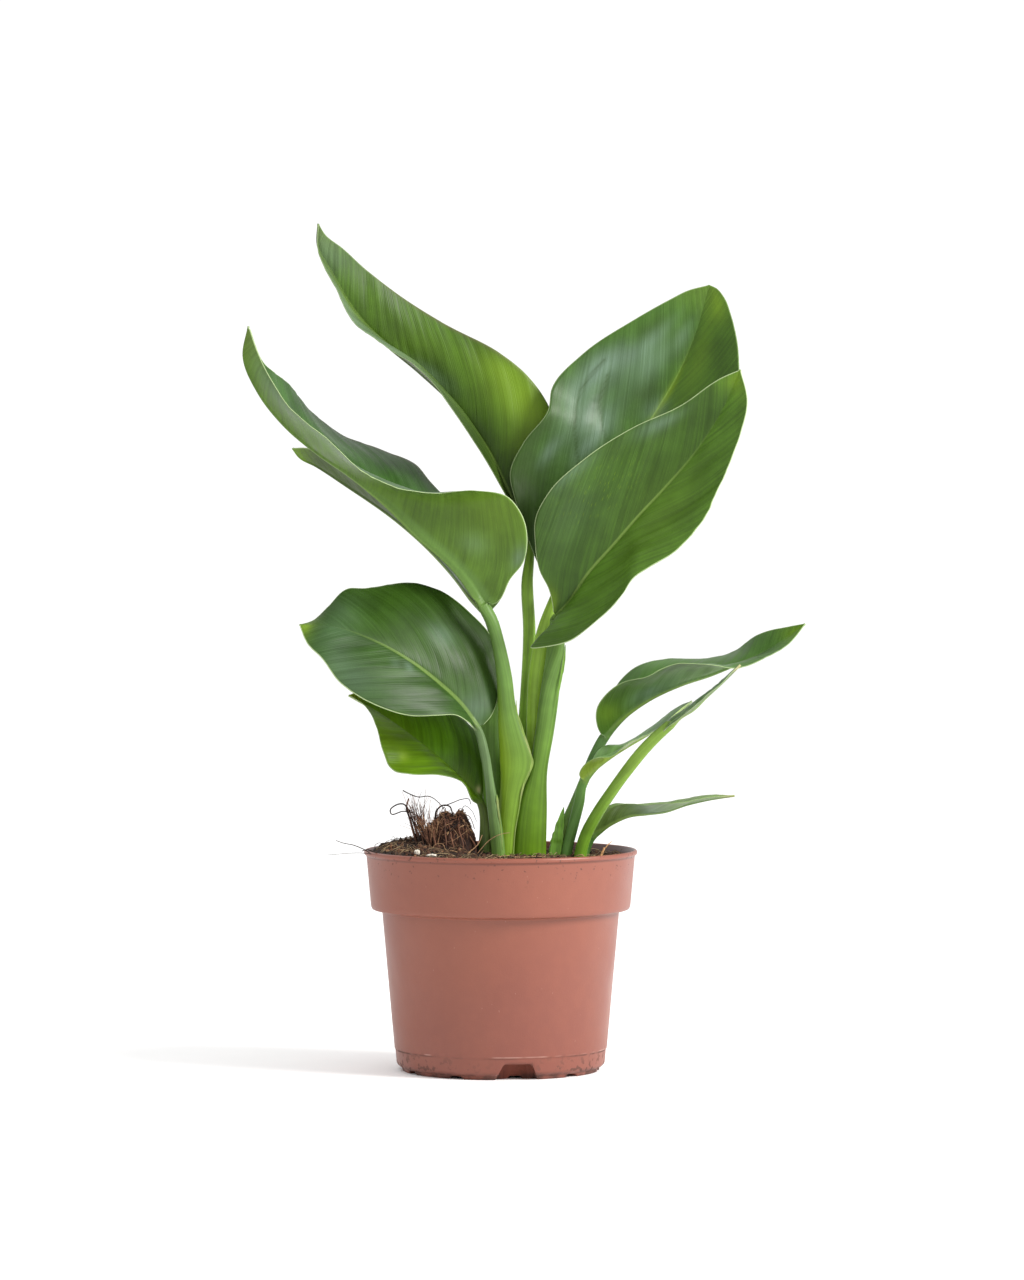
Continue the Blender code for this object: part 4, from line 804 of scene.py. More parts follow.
def plastic_material(settings):
    """Moulded polypropylene: a satin skin with faint flow marks. Dry peat clings to the foot, and the
    ledge where pots are stacked is scuffed to a chalky line. The groove under the rim and the inside wall
    are darkened as painted shade."""
    material, tree, place = new_material("moulded_polypropylene", ior=1.49)
    apart = add(tree, "SeparateXYZ", [place]).node.outputs
    aside = add(tree, "Math", [apart["X"]], operation="ABSOLUTE")

    # Noise of so many features per metre, and its detail.
    noise = {}
    for scale, detail in ((9, 2.0), (30, 2.0), (45, 3.0), (70, 2.0), (90, 4.0), (120, 4.0), (160, 3.0),
                          (330, 4.0), (520, 2.0), (1400, 2.0)):
        noise[scale] = add(tree, "TexNoise", {"Vector": place, "Scale": scale, "Detail": detail})

    dull = add(tree, "MapRange", [noise[9], 0.3, 0.7], **SMOOTH)
    base = add(tree, "Mix", [dull, settings.plastic_colour[:], colour(PLASTIC_DULL)], **RGBA)
    warm = add(tree, "MapRange", [noise[160], 0.35, 0.7, 0.0, 0.12], **SMOOTH)
    flow = add(tree, "Mapping", {"Vector": place, "Scale": (1.0, 1.0, 0.5)})
    chalk = add(tree, "TexNoise", {"Vector": flow, "Scale": 700.0, "Detail": 2.0})
    chalk = add(tree, "MapRange", [chalk, 0.74, 0.78, 0.0, 0.35], **SMOOTH)

    # Bands round the pot: the height of each, how far from it the band is full and gone, in
    # millimetres, and the noise that breaks it up, with the values where it starts and is full. The
    # groove band is painted shade in the groove under the rim, unbroken, since no noise lies below 0.
    bands = {}
    for key, height, full, gone, scale, low, high in (
        ("ledge", 11.0, 0.1, 0.7, 90, 0.42, 0.56),
        ("smears", 0.0, 1.0, 16.0, 330, 0.54, 0.61),
        ("foot", 0.0, 1.4, 4.2, 120, 0.40, 0.60),
        ("specks", RIM_HEIGHT, 4.0, 18.0, 520, 0.66, 0.70),
        ("scuff", 11.7, 0.1, 0.5, 45, 0.52, 0.60),
        ("groove", 110.0, 0.2, 0.7, 9, -1.0, 0.0),
    ):
        away = add(tree, "Math", [apart["Z"], height * MM], operation="SUBTRACT")
        away = add(tree, "Math", [away], operation="ABSOLUTE")
        near = add(tree, "MapRange", [away, full * MM, gone * MM, 1.0, 0.0], **SMOOTH)
        broken = add(tree, "MapRange", [noise[scale], low, high], **SMOOTH)
        bands[key] = add(tree, "Math", [near, broken], **TIMES)

    # The ledge and the smears are cleaner in front, where the pot was wiped.
    for key, low, high, least in (("ledge", 0.030, 0.046, 0.3), ("smears", 0.0, 0.04, 0.2)):
        share = add(tree, "MapRange", [aside, low, high, least, 1.0], **SMOOTH)
        bands[key] = add(tree, "Math", [bands[key], share], **TIMES)
    dirt = 0.0
    for key in ("ledge", "smears", "foot", "specks"):
        dirt = add(tree, "Math", [bands[key], dirt], operation="MAXIMUM")
    dirt = add(tree, "Math", [dirt, settings.dirt], **TIMES)
    # The inside wall is darkened as painted shade, and so is the groove band.
    inside = add(tree, "Attribute", output="Fac", attribute_name="inside")
    base = layered(tree, base, (
        (warm, 1.0, PLASTIC_WARM),
        (chalk, 1.0, CHALK),
        (bands["groove"], 0.45, PLASTIC_PAINTED_SHADE),
        (inside, 0.7, PLASTIC_PAINTED_SHADE),
        (dirt, 0.8, DRY_PEAT),
        (bands["scuff"], 0.7, CHALK)))
    roughness = add(tree, "MapRange", [noise[30], 0.3, 0.7, 0.36, 0.46], **SMOOTH)
    roughness = add(tree, "Math", [dirt, 0.35, roughness], **MUL_ADD)
    height = add(tree, "Math", [noise[70], 1.5, noise[1400]], **MUL_ADD)
    return finished(material, base, roughness, height, 0.05)


def peat_material(name):
    """Moist peat and dry fibre: dull, broken and brown, each crumb or fibre of its own shade."""
    dark, middle, light, roughness = PEATS[name]
    material, tree, place = new_material(name, ior=1.4)
    grain = add(tree, "TexNoise", {"Vector": place, "Scale": 900.0, "Detail": 3.0, "Roughness": 0.65})
    patch = add(tree, "TexNoise", {"Vector": place, "Scale": 110.0, "Detail": 2.0})
    patch = add(tree, "MapRange", [patch, 0.3, 0.7, -0.2, 0.25], **SMOOTH)
    tint = add(tree, "Attribute", output="Fac", attribute_name="tint")
    tint = add(tree, "Math", [tint, patch], operation="ADD")
    brown, pale = (add(tree, "MapRange", [tint, *ends], **SMOOTH) for ends in ((0.1, 0.6), (0.62, 1.0)))
    base = layered(tree, colour(dark), ((brown, 1.0, middle), (pale, 1.0, light)))
    return finished_dull(material, base, grain, (0.65, 1.3), (roughness - 0.1, roughness), 0.3)


def paper_material():
    """Dried sheath: thin papery skin the colour of straw, streaked lengthwise, still green in places."""
    material, tree, place = new_material("dried_leaf_sheath", ior=1.4)
    upright = add(tree, "Mapping", {"Vector": place, "Scale": (1.0, 1.0, 0.12)})
    streak = add(tree, "TexNoise", {"Vector": upright, "Scale": 900.0, "Detail": 2.0})
    patch = add(tree, "TexNoise", {"Vector": place, "Scale": 130.0, "Detail": 2.0})
    patch = add(tree, "MapRange", [patch, 0.35, 0.65], **SMOOTH)
    green = add(tree, "Attribute", output="Fac", attribute_name="green")
    base = layered(tree, colour(PAPER_DULL), ((patch, 1.0, PAPER), (green, 1.0, PAPER_GREEN)))
    return finished_dull(material, base, streak, (0.8, 1.15), (0.5, 0.65), 0.1)


def grained_material(name, ior, scale, colours, reach, roughness, depth_mm):
    """A dull grained surface between two colours and two roughnesses, for perlite and the floor.

    Perlite is expanded volcanic glass, white and full of pits about 0.3 mm wide. The floor is a painted
    board, near white, with a grain too fine to see from here, so it is drawn 30 mm wide."""
    material, tree, place = new_material(name, ior=ior)
    grain = add(tree, "TexNoise", {"Vector": place, "Scale": scale, "Detail": 2.0})
    amount = add(tree, "MapRange", [grain, *reach], **SMOOTH)
    base = add(tree, "Mix", [amount, *colours], **RGBA)
    return finished_dull(material, base, grain, (1.0, 1.0), roughness, depth_mm)


# Shapes


def leaf_axis(leaf, stalk_rows, blade_rows):
    """Centres, half width and half depth of the sections from the stalk's foot to the leaf's tip, the
    fraction along the blade of each (0 on the stalk), and both margins' points."""
    stalk = np.array(leaf["stalk"], float)
    rib = np.array(leaf["rib"], float)
    slim = np.linspace(1.0, 0.2, len(rib))[:, None] * (leaf.get("rib_half_width", RIB_HALF_WIDTH), RIB_DEPTH)
    axis = np.concatenate([stalk, np.concatenate([rib, slim], axis=1)])
    chords = lengths(axis)
    base = chords[: len(stalk)].sum() / chords.sum()
    on_stalk = np.linspace(0.0, base, stalk_rows)[:-1]
    even = np.linspace(0.0, 1.0, blade_rows)
    on_blade = even - 0.09 * np.sin(math.pi * even) * np.cos(math.pi * even)
    fractions = np.concatenate([on_stalk, base + (1 - base) * on_blade])
    sections = smooth_curve(axis, fractions)
    along = np.concatenate([np.zeros(len(on_stalk)), on_blade])
    margins = []
    for side in ("left", "right"):
        ends = [leaf["rib"][0]] + leaf[side] + [leaf["rib"][-1]]
        edge = smooth_curve(ends, on_blade)
        margins.append(np.concatenate([sections[: len(on_stalk), :3], edge]))
    place = np.concatenate([on_stalk / base - 1, on_blade])
    return sections[:, :3], sections[:, 3], sections[:, 4], along, margins, place


def across_leaf(centre, along, margins):
    """The direction from left to right at each section, square to the leaf's line: from margin to margin
    on the blade, and turning to the X axis down the stalk."""
    forward = unit(np.gradient(centre, axis=0))
    across = margins[1] - margins[0]
    wide = np.flatnonzero(np.linalg.norm(across, axis=1) > 5.0)
    across = unit(across[np.clip(np.arange(len(centre)), wide[0], wide[-1])])
    on_stalk = along <= 0
    height = centre[:, 2]
    top = height[on_stalk][-1]
    turned = smooth_step((height - HOLE_FLOOR) / (top - HOLE_FLOOR) * 2 - 1)[:, None]
    turned[~on_stalk] = 1.0
    level = np.array([np.sign(across[0, 0]), 0.0, 0.0])
    across = level * (1 - turned) + across * turned
    across = unit(across - forward * np.sum(across * forward, axis=1, keepdims=True))
    return forward, across


def patches(spots, across, along):
    """The sum of soft round patches, from 0 to 1, over the leaf's two coordinates."""
    total = np.zeros(across.shape)
    for centre_across, centre_along, half_across, half_along, strength in spots:
        away = ((across - centre_across) / half_across) ** 2 + ((along - centre_along) / half_along) ** 2
        total += strength * np.exp(-away)
    return np.clip(total, 0.0, 1.0)


def creased(lines, middle, across, along):
    """How near each point is to the creases, 1 on a crease and 0 beyond their reach: every crease joins
    the grid points nearest to its places."""
    near = np.full(across.shape, 2 * CREASE_REACH)
    for line in lines:
        corners = []
        for place in line:
            nearest = np.argmin((across - place[0]) ** 2 + (4 * (along - place[1])) ** 2)
            corners.append(middle.reshape(-1, 3)[nearest])
        path = smooth_curve(corners, np.linspace(0, 1, CREASE_POINTS))
        for start, end in zip(path[:-1], path[1:]):
            reach = end - start
            part = np.clip(((middle - start) @ reach) / (reach @ reach), 0.0, 1.0)
            near = np.minimum(near, np.linalg.norm(middle - start - part[..., None] * reach, axis=-1))
    return smooth_step(1 - near / CREASE_REACH)


def leaf_surface(leaf, look, settings, seed, rows, columns):
    """The upper and lower faces of a leaf as two grids. Each half runs straight from the rib to its
    margin, arched a little and waved at the edge; ripples follow the veins, the rib is a groove above
    and a ridge below, and the blade thins towards the margin. The stalk is an oval."""
    centre, half_width, half_depth, along, margins, place = leaf_axis(leaf, *rows)
    forward, side = across_leaf(centre, along, margins)
    level = side[:, 0] ** 2
    wide = np.sqrt(half_width**2 * level + half_depth**2 * (1 - level))
    deep = np.sqrt(half_width**2 * (1 - level) + half_depth**2 * level)
    settled = smooth_step(along / SETTLED)
    half_width = wide + (half_width - wide) * settled
    half_depth = deep + (half_depth - deep) * settled
    inner = np.linspace(0, 1, RIB_COLUMNS + 1)[1:]
    outer = np.linspace(0, 1, columns - RIB_COLUMNS + 1)[1:]
    halves = []
    for margin, sign in zip(margins, (-1.0, 1.0)):
        out = margin - centre
        reach = np.linalg.norm(out, axis=1)
        turn = smooth_step((reach - 0.6 * half_width) / (1.6 * half_width))[:, None]
        direction = unit(sign * side * (1 - turn) + unit(out) * turn)
        width = np.hypot(reach, half_width)[:, None]
        near_rib = np.minimum(half_width[:, None] / width, 0.38)
        rest = turn * outer + (1 - turn) * np.sin(outer * math.pi / 2)
        part = np.concatenate([near_rib * inner, near_rib + (1 - near_rib) * rest], axis=1)
        normal = unit(np.cross(sign * direction, forward))
        halves.append((sign * part, part * width, direction, normal, width, turn))
    signed, distance, direction, normal, width, turn = zip(*halves)
    empty = np.zeros((len(centre), 1))
    signed, distance = (
        np.concatenate([left[:, ::-1], empty, right], axis=1) for left, right in (signed, distance))
    which = np.repeat([0, 1], [columns + 1, columns])
    direction, sides = (np.stack(both, axis=1)[:, which] for both in (direction, normal))
    width, turn = (np.concatenate(both, axis=1)[:, which] for both in (width, turn))
    crest = unit(normal[0] + normal[1])[:, None]
    flat = smooth_step(distance / (1.5 * half_width[:, None]))[..., None]
    normal = unit(crest * (1 - flat) + sides * flat)
    middle = centre[:, None] + direction * distance[..., None]
    part = np.abs(signed)
    along_all = place[:, None] + 0 * signed

    travelled = np.concatenate([[0.0], np.cumsum(lengths(centre))])
    travelled = (travelled - travelled[rows[0] - 1])[:, None]
    swell = np.sin(math.pi * along)[:, None]
    on_blade = swell**0.7
    vein = travelled - look.get("slant", SLANT) * distance - VEIN_BEND * distance**2
    ripple = 0.0
    for strength, length, breadth, shift, step in RIPPLES:
        noise = soft_noise(vein / length + shift * (signed > 0), distance / breadth, seed + step)
        ripple = ripple + strength * noise
    ripple = ripple * settings.ripple / MM * smooth_step(part / 0.25) * on_blade
    waved = leaf.get("wave", WAVE) * part**3 * np.sin(math.tau * WAVES * along)[:, None] * swell
    lift = leaf.get("arch", ARCH) * width * np.sin(math.pi * part) * swell
    # Creases are real dents, and the material also darkens them as painted shade.
    crease = creased(look.get("creases", []), middle, signed, along_all)
    middle = middle + normal * (lift + waved + ripple - CREASE_DEPTH * crease)[..., None]

    ridge = np.sqrt(np.clip(1 - (distance / half_width[:, None]) ** 2, 0.0, 1.0))
    fade = np.clip(1 - along * 14.0, 0.0, 1.0)[:, None]
    oval = 0.4 * np.sqrt(np.clip(1 - part**2, 0.0, 1.0)) + 0.04
    blade = settings.blade_thickness / MM / 2 * (1 - 0.55 * part**4)
    thickness = oval * (1 - turn) + blade * turn
    groove = 0.5 * np.exp(-((distance / 1.3) ** 2)) * on_blade * (1 - along[:, None])
    above = thickness + half_depth[:, None] * fade * ridge - groove * (1 - fade)
    below = thickness + half_depth[:, None] * ridge ** (1 + turn)
    upper = middle + normal * above[..., None]
    lower = middle - normal * below[..., None]

    girth = 5.0 * np.arcsin(np.clip(signed, -1, 1))
    values = {
        "across": signed,
        "along": along_all,
        "off_rib": distance,
        "edge": (1 - part) * width + OFF_EDGE * (along_all < 0),
        "vein": np.where(along_all > 0, vein + OTHER_HALF * (signed > 0), girth),
        "crease": crease,
    }
    for kind in SPOTS:
        values[kind] = patches(look.get(kind, []), signed, along_all)
    return upper, lower, values


def add_leaf(name, settings, seed):
    """One leaf: the two grids, joined along the margins and at both ends."""
    leaf, look = LEAVES[name], LOOKS[name]
    large = len(leaf["rib"]) > 6 or "main" in name
    rows, columns = LARGE_LEAF if large else SMALL_LEAF
    upper, lower, values = leaf_surface(leaf, look, settings, seed, rows, columns)
    count, across = upper.shape[:2]
    start = count * across
    ring = np.arange(count - 1)[:, None] * across
    left = ring + np.array([[0, across, across + start, start]])
    right = ring + across - 1 + np.array([[start, across + start, across, 0]])
    step = np.arange(across - 1)[:, None]
    foot = step + np.array([[0, start, start + 1, 1]])
    tip = step + (count - 1) * across + np.array([[0, 1, start + 1, start]])
    faces = [grid_faces(count, across), grid_faces(count, across, start)[:, ::-1], left, right, foot, tip]
    values = {key: np.tile(np.ravel(item), 2) for key, item in values.items()}
    points = np.concatenate([upper.reshape(-1, 3), lower.reshape(-1, 3)])
    material = leaf_material("waxy_" + name, look, settings)
    face = np.repeat([1.0, -1.0], start)
    add_piece(name + "_blade", points, faces, look["slot"], material, [name], **values, face=face)


def rounded(profile, radius):
    """The profile with each inner corner replaced by a short curve that starts and ends at the radius
    from the corner, or at 0.4 of the way to the next corner where that is nearer."""
    corner = profile[1:-1]
    ends = []
    for other in (profile[:-2], profile[2:]):
        way = other - corner
        length = np.linalg.norm(way, axis=1, keepdims=True)
        ends.append(corner + way / length * np.minimum(radius, 0.4 * length))
    t = np.linspace(0, 1, CORNER_POINTS)[None, :, None]
    curve = bowed(ends[0], corner, ends[1], t)
    return np.concatenate([profile[:1], curve.reshape(-1, 2), profile[-1:]])


def underside(x, y):
    """The height of the pot's underside: 0 on the feet, raised in ten channels and two tall notches."""
    height = np.zeros(x.shape)
    top, foot = NOTCH_TOP_WIDTH / 2, NOTCH_FOOT_WIDTH / 2
    for index in range(CHANNELS):
        angle = FIRST_CHANNEL + index * math.tau / CHANNELS
        ahead = x * math.cos(angle) + y * math.sin(angle)
        aside = np.abs(y * math.cos(angle) - x * math.sin(angle))
        depth = CHANNEL_HEIGHT * np.clip(CHANNEL_WIDTH / 2 - aside, 0, 1) * (ahead > CHANNEL_START)
        height = np.maximum(height, depth)
        hole = np.hypot(ahead - HOLE_DISTANCE, aside) < HOLE_RADIUS
        height = np.where(hole, HOLE_DEPTH, height)
        if index % (CHANNELS // 2) == 0:
            widths = [top, top + 1.4, foot, foot + 0.7]
            notch = np.interp(aside, widths, [NOTCH_HEIGHT, NOTCH_HEIGHT - 1.2, 2.6, 0.0])
            height = np.maximum(height, notch * (ahead > NOTCH_START))
    return height


def turned_piece(profile, steps, shape):
    """Points and faces of a profile turned about the Z axis. Its first and last points lie on the axis,
    where fans of triangles close the shape. The shape function turns x, y and z into points."""
    angle = around(steps)
    radius, z = profile[1:-1, :1], profile[1:-1, 1:] + 0 * angle
    points = shape(radius * np.cos(angle), radius * np.sin(angle), z)
    rings = len(profile) - 2
    poles = np.array([[0, 0, profile[0, 1]], [0, 0, profile[-1, 1]]])
    here = np.arange(steps)
    after = (here + 1) % steps
    pole = 0 * here + rings * steps
    up = (rings - 1) * steps
    first = np.stack([pole, after, here], axis=-1)
    last = np.stack([pole + 1, here + up, after + up], axis=-1)
    points = np.concatenate([points.reshape(-1, 3), poles])
    return points, [grid_faces(rings, steps, ring=True), first, last]


def add_pot(settings):
    """The pot: a rounded profile turned about the axis, with the feet, channels and notches raised into
    its underside, and the wall a little out of round, as a thin moulding is."""
    flat = np.stack([np.linspace(0.0, FOOT_RADIUS - 0.4, POT_RINGS), np.zeros(POT_RINGS)], axis=1)
    rim, bottom = (RIM_RADIUS - 1.4, RIM_HEIGHT), (0.0, FLOOR_THICKNESS)
    wall = rounded(np.array([*POT_OUTSIDE[::-1], rim, *POT_INSIDE[::-1], bottom]), 1.2)
    outer = len(flat) + CORNER_POINTS * len(POT_OUTSIDE)

    def shape(x, y, z):
        lifted = np.where(z < NOTCH_HEIGHT, underside(x, y), 0.0)
        outside = (np.arange(len(z)) < outer)[:, None]
        z = np.where(outside, np.maximum(z, lifted), z)
        out = 1 + 0.0012 * (z / RIM_HEIGHT) * np.sin(2 * np.arctan2(y, x) + 0.6) * (z > 20)
        return np.stack([x * out, y * out, z], axis=-1)

    points, faces = turned_piece(np.concatenate([flat, wall]), settings.wall_steps, shape)
    # The points of the inside wall, which the material darkens as painted shade.
    inside = np.arange(len(points)) // settings.wall_steps > outer
    material = plastic_material(settings)
    add_piece("nursery_pot", points, faces, "terracotta_plastic", material, ["pot"], inside=inside)


def soil_rise(x):
    """How far the soil stands up the wall: 4 mm at the left, nothing at the right."""
    return 4.0 * smooth_step((12.0 - x) / 66.0)


def soil_height(x, y):
    """The soil's top: two soft mounds on a level that falls from 1 mm below the rim at the left to 5 mm
    below it at the right, and a fine ripple."""
    mounds = hill(x, y, 6.6, (-38.0, 4.0), (15.0, 24.0)) + hill(x, y, 2.2, (8.0, 0.0), (26.0, 26.0))
    ripple = 0.5 * np.sin(x / 6.1 + 1.0) * np.cos(y / 5.3) + 0.3 * np.sin((x + y) / 3.7)
    return SOIL_LEVEL + soil_rise(x) + mounds + ripple


def rough_soil(x, y):
    """The soil's top with its crumbs: the plain height and three sizes of lump."""
    lumps = 0.9 * soft_noise(x / 5.0, y / 5.0, 3) + 0.7 * np.abs(soft_noise(x / 2.1, y / 2.1, 4))
    return soil_height(x, y) + lumps + 0.45 * soft_noise(x / 0.9, y / 0.9, 5)


def add_soil():
    """The peat: the pot's inside, drawn in by the gap, under a lumpy top."""
    inside = [(radius - GAP, height + GAP) for radius, height in POT_INSIDE[:6]]
    edge = float(np.interp(SOIL_LEVEL, *np.array(POT_INSIDE)[:, ::-1].T)) - GAP
    top = np.stack([np.linspace(edge - 0.4, 0.0, SOIL_RINGS), np.full(SOIL_RINGS, SOIL_LEVEL)], axis=1)
    profile = np.concatenate([[(0.0, FLOOR_THICKNESS + GAP)], inside, [(edge, SOIL_LEVEL - 1.0)], top])

    def shape(x, y, z):
        off_wall = smooth_step((edge - np.hypot(x, y)) / 3.0)
        level = SOIL_LEVEL + soil_rise(x)
        height = level + (rough_soil(x, y) - level) * off_wall
        return np.stack([x, y, np.where(z > SOIL_LEVEL - 0.1, height, z)], axis=-1)

    points, faces = turned_piece(profile, SOIL_STEPS, shape)
    points[-1, 2] = rough_soil(np.array([0.0]), np.array([0.0]))[0]
    tint = 0.18 + 0.25 * soft_noise(points[:, 0] / 2.0, points[:, 1] / 2.0, 6)
    material = peat_material("moist_peat")
    add_piece("peat", points, faces, "peat", material, ["soil"], tint=tint)


def add_crumbs(settings):
    """Crumbs of peat and bark: twenty-faced lumps, stretched, turned and sunk a little into the top."""
    random = np.random.default_rng(11)
    count = settings.crumbs
    golden = (1 + math.sqrt(5)) / 2
    corner = np.array([(-1, golden, 0), (1, golden, 0), (-1, -golden, 0), (1, -golden, 0),
                       (0, -1, golden), (0, 1, golden), (0, -1, -golden), (0, 1, -golden),
                       (golden, 0, -1), (golden, 0, 1), (-golden, 0, -1), (-golden, 0, 1)])
    face = np.array([(0, 11, 5), (0, 5, 1), (0, 1, 7), (0, 7, 10), (0, 10, 11), (1, 5, 9), (5, 11, 4),
                     (11, 10, 2), (10, 7, 6), (7, 1, 8), (3, 9, 4), (3, 4, 2), (3, 2, 6), (3, 6, 8),
                     (3, 8, 9), (4, 9, 5), (2, 4, 11), (6, 2, 10), (8, 6, 7), (9, 8, 1)])
    x, y = scattered(random, count, CRUMB_REACH)
    size = 0.3 + 0.85 * random.uniform(0, 1, count) ** 3
    stretch = random.uniform(0.6, 1.7, (count, 1, 3)) * size[:, None, None]
    lump = unit(corner)[None] * random.uniform(0.7, 1.2, (count, len(corner), 1)) * stretch
    turn = np.linalg.qr(random.normal(size=(count, 3, 3)))[0]
    turn[:, :, 0] *= np.sign(np.linalg.det(turn))[:, None]
    centre = np.stack([x, y, rough_soil(x, y) + 0.25 * size], axis=-1)
    points = (np.einsum("nij,nkj->nki", turn, lump) + centre[:, None]).reshape(-1, 3)
    faces = [(face[None] + len(corner) * np.arange(count)[:, None, None]).reshape(-1, 3)]
    tint = per_part(random.uniform(0.0, 0.7, count), points)
    material = peat_material("peat_crumbs")
    add_piece("peat_crumbs", points, faces, "peat", material, tint=tint)


def add_fibres(settings):
    """Peat fibres: thin tubes that lie on the soil in any direction and lift a little off it."""
    random = np.random.default_rng(12)
    count = settings.fibres
    x, y = scattered(random, count, FIBRE_REACH)
    heading = random.uniform(0, math.tau, count)
    length = random.uniform(4, 16, count)
    t = np.linspace(-0.5, 0.5, FIBRE_POINTS)
    bend = heading[:, None] + random.normal(0, 0.8, count)[:, None] * t
    x = x[:, None] + length[:, None] * t * np.cos(bend)
    y = y[:, None] + length[:, None] * t * np.sin(bend)
    shrink = np.minimum(1.0, FIBRE_LIMIT / np.maximum(np.hypot(x, y), 1.0))
    x, y = x * shrink, y * shrink
    lift = random.uniform(0.2, 2.6, count)[:, None] * (0.25 - t**2) * 4
    z = rough_soil(x, y) + 0.1 + lift
    radius = random.uniform(0.08, 0.2, count)
    points, faces = tubes(np.stack([x, y, z], axis=-1), radius, 0.6, 4)
    tint = per_part(random.uniform(0.15, 1.1, count), points)
    material = peat_material("peat_fibre")
    add_piece("peat_fibres", points, faces, "peat", material, tint=tint)


def clump_height(x, y, part):
    """A steep-sided dome of 16 mm whose top has two peaks with a notch between, roughened by a ripple."""
    dome = 111.5 + 16.0 * np.clip(1 - part**3, 0.0, 1.0) ** 0.7
    peaks = hill(x, y, 3.9, (-28.5, -5.0), (3.0, 3.0)) + hill(x, y, 5.9, (-19.4, -6.0), (3.5, 3.5))
    notch = hill(x, y, 1.7, (-24.2, 0.0), (1.4, math.inf))
    fall = 0.2 * np.maximum(0.0, x + 20.0)
    return dome + (peaks - notch - fall) * (1 - part**4)


def on_clump(part, angle):
    """Places round the knot's centre at a part of its half widths."""
    x = CLUMP_CENTRE[0] + part * CLUMP_HALF[0] * np.cos(angle)
    return x, CLUMP_CENTRE[1] + part * CLUMP_HALF[1] * np.sin(angle)


def clump_core():
    """The knot's core: an oval plug under a lumpy top of two peaks, as rings round its centre."""
    part = np.concatenate([[1.0, 1.0], np.linspace(0.97, 0.03, CLUMP_RINGS)])[:, None]
    x, y = on_clump(part, around(CLUMP_STEPS))
    lumps = 1.1 * soft_noise(x / 1.9, y / 1.9, 21) + 0.6 * soft_noise(x / 0.8, y / 0.8, 22)
    z = clump_height(x, y, part) + lumps * 1.5
    z[0] = CLUMP_FLOOR + GAP
    rough = np.stack([0.6 * soft_noise(z / 1.3, y, 23), 0.6 * soft_noise(z / 1.3, x, 24), 0 * z], axis=-1)
    points = np.stack([x, y, z], axis=-1) + rough
    return points.reshape(-1, 3), capped(len(part), CLUMP_STEPS)


def wandering(paths, random, amount):
    """The paths with a smooth sideways wander that is nothing at their first point."""
    count, samples = paths.shape[:2]
    t = np.linspace(0, 1, samples)[None, :, None]
    wander = 0
    for waves in (1, 2, 4):
        phase = random.uniform(0, math.tau, (count, 1, 3))
        wander = wander + random.normal(0, 1, (count, 1, 3)) * np.sin(math.pi * waves * t + phase) / waves
    return paths + amount * t**0.5 * wander


def add_roots(settings):
    """The knot of old roots: its core, ten stout roots, fine ones that fan up at the left, short ones
    matted over the core, and the loose roots and hairs round it."""
    random = np.random.default_rng(31)
    even = np.linspace(0, 1, ROOT_POINTS)
    stout = wandering(curves(ROOTS, ROOT_POINTS), random, 0.9)
    radius = np.where(np.arange(len(stout)) < STOUTEST, 1.0, 0.62) * ROOT_RADIUS
    parts = [tubes(stout, radius, ROOT_TIP / ROOT_RADIUS, 6)]
    tints = [per_part(random.uniform(0.15, 0.6, len(stout)), parts[0][0])]

    count = settings.fine_roots // 2
    chosen = random.integers(0, 4, count)
    start = stout[chosen, 0] + random.normal(0, 1, (count, 3)) * (2.4, 1.5, 0.5) + (3.5, 0, 0)
    end = stout[chosen, -1] + random.normal(0, 1, (count, 3)) * (4.2, 3.0, 3.4) + (4.0, 0, -1.0)
    middle = stout[chosen, ROOT_POINTS // 2] + random.normal(0, 1, (count, 3)) * (1.6, 1.5, 1.5) + (3.0, 0, 0)
    fine = wandering(bowed(start, middle, end, even[None, :, None]), random, 0.8)
    parts.append(tubes(fine, random.uniform(0.09, 0.26, count), 0.4, 4))
    tints.append(per_part(random.uniform(0.0, 0.8, count), parts[1][0]))

    count = settings.fine_roots
    angle = random.uniform(0, math.tau, count)
    part = random.uniform(0.15, 1.0, count)
    slope = even[None] * random.uniform(-0.3, 0.5, count)[:, None]
    reach = np.clip(part[:, None] + slope - 0.15, 0, 1.08)
    swing = angle[:, None] + random.normal(0, 2.6, count)[:, None] * slope
    x, y = on_clump(reach, swing)
    z = clump_height(x, y, np.minimum(reach, 1.0)) + random.uniform(-0.1, 1.0, count)[:, None]
    matted = wandering(np.stack([x, y, z], axis=-1), random, 1.0)
    parts.append(tubes(matted, random.uniform(0.1, 0.26, count), 1.0, 4))
    tints.append(per_part(random.uniform(0.0, 1.0, count) ** 1.2, parts[2][0]))

    paths, sizes = zip(*LOOSE_ROOTS)
    loose = wandering(curves(paths, HAIR_POINTS), random, 0.35)
    parts.append(tubes(loose, sizes, 0.6, 5))
    shade = np.where(np.arange(len(loose)) < DARK_ROOTS, 0.0, 0.95)
    tints.append(per_part(shade, parts[3][0]))

    core = clump_core()
    dark = peat_material("root_knot")
    tint = 0.3 + 0.3 * soft_noise(core[0][:, 0] / 1.5, core[0][:, 2] / 1.5, 25)
    add_piece("root_knot", *core, "old_root", dark, ["root_clump"], tint=tint)
    fibre = peat_material("dry_root_fibre")
    add_piece("roots", *join(parts), "old_root", fibre, ["root_clump"], tint=np.concatenate(tints))


def ball(centre, size, seed):
    """A lump from a grid of two angles, its radius varied by noise."""
    angle = around(BALL_STEPS)
    down = (np.arange(BALL_RINGS) + 0.5)[:, None] * math.pi / BALL_RINGS
    radius = 1 + 0.14 * soft_noise(2.2 * np.cos(angle) + 5, 2.2 * down + np.sin(angle), seed)
    x = radius * np.sin(down) * np.cos(angle) * size[0]
    y = radius * np.sin(down) * np.sin(angle) * size[1]
    z = radius * -np.cos(down) * size[2]
    points = np.stack([x, y, z], axis=-1).reshape(-1, 3) + centre
    return points, capped(BALL_RINGS, BALL_STEPS)


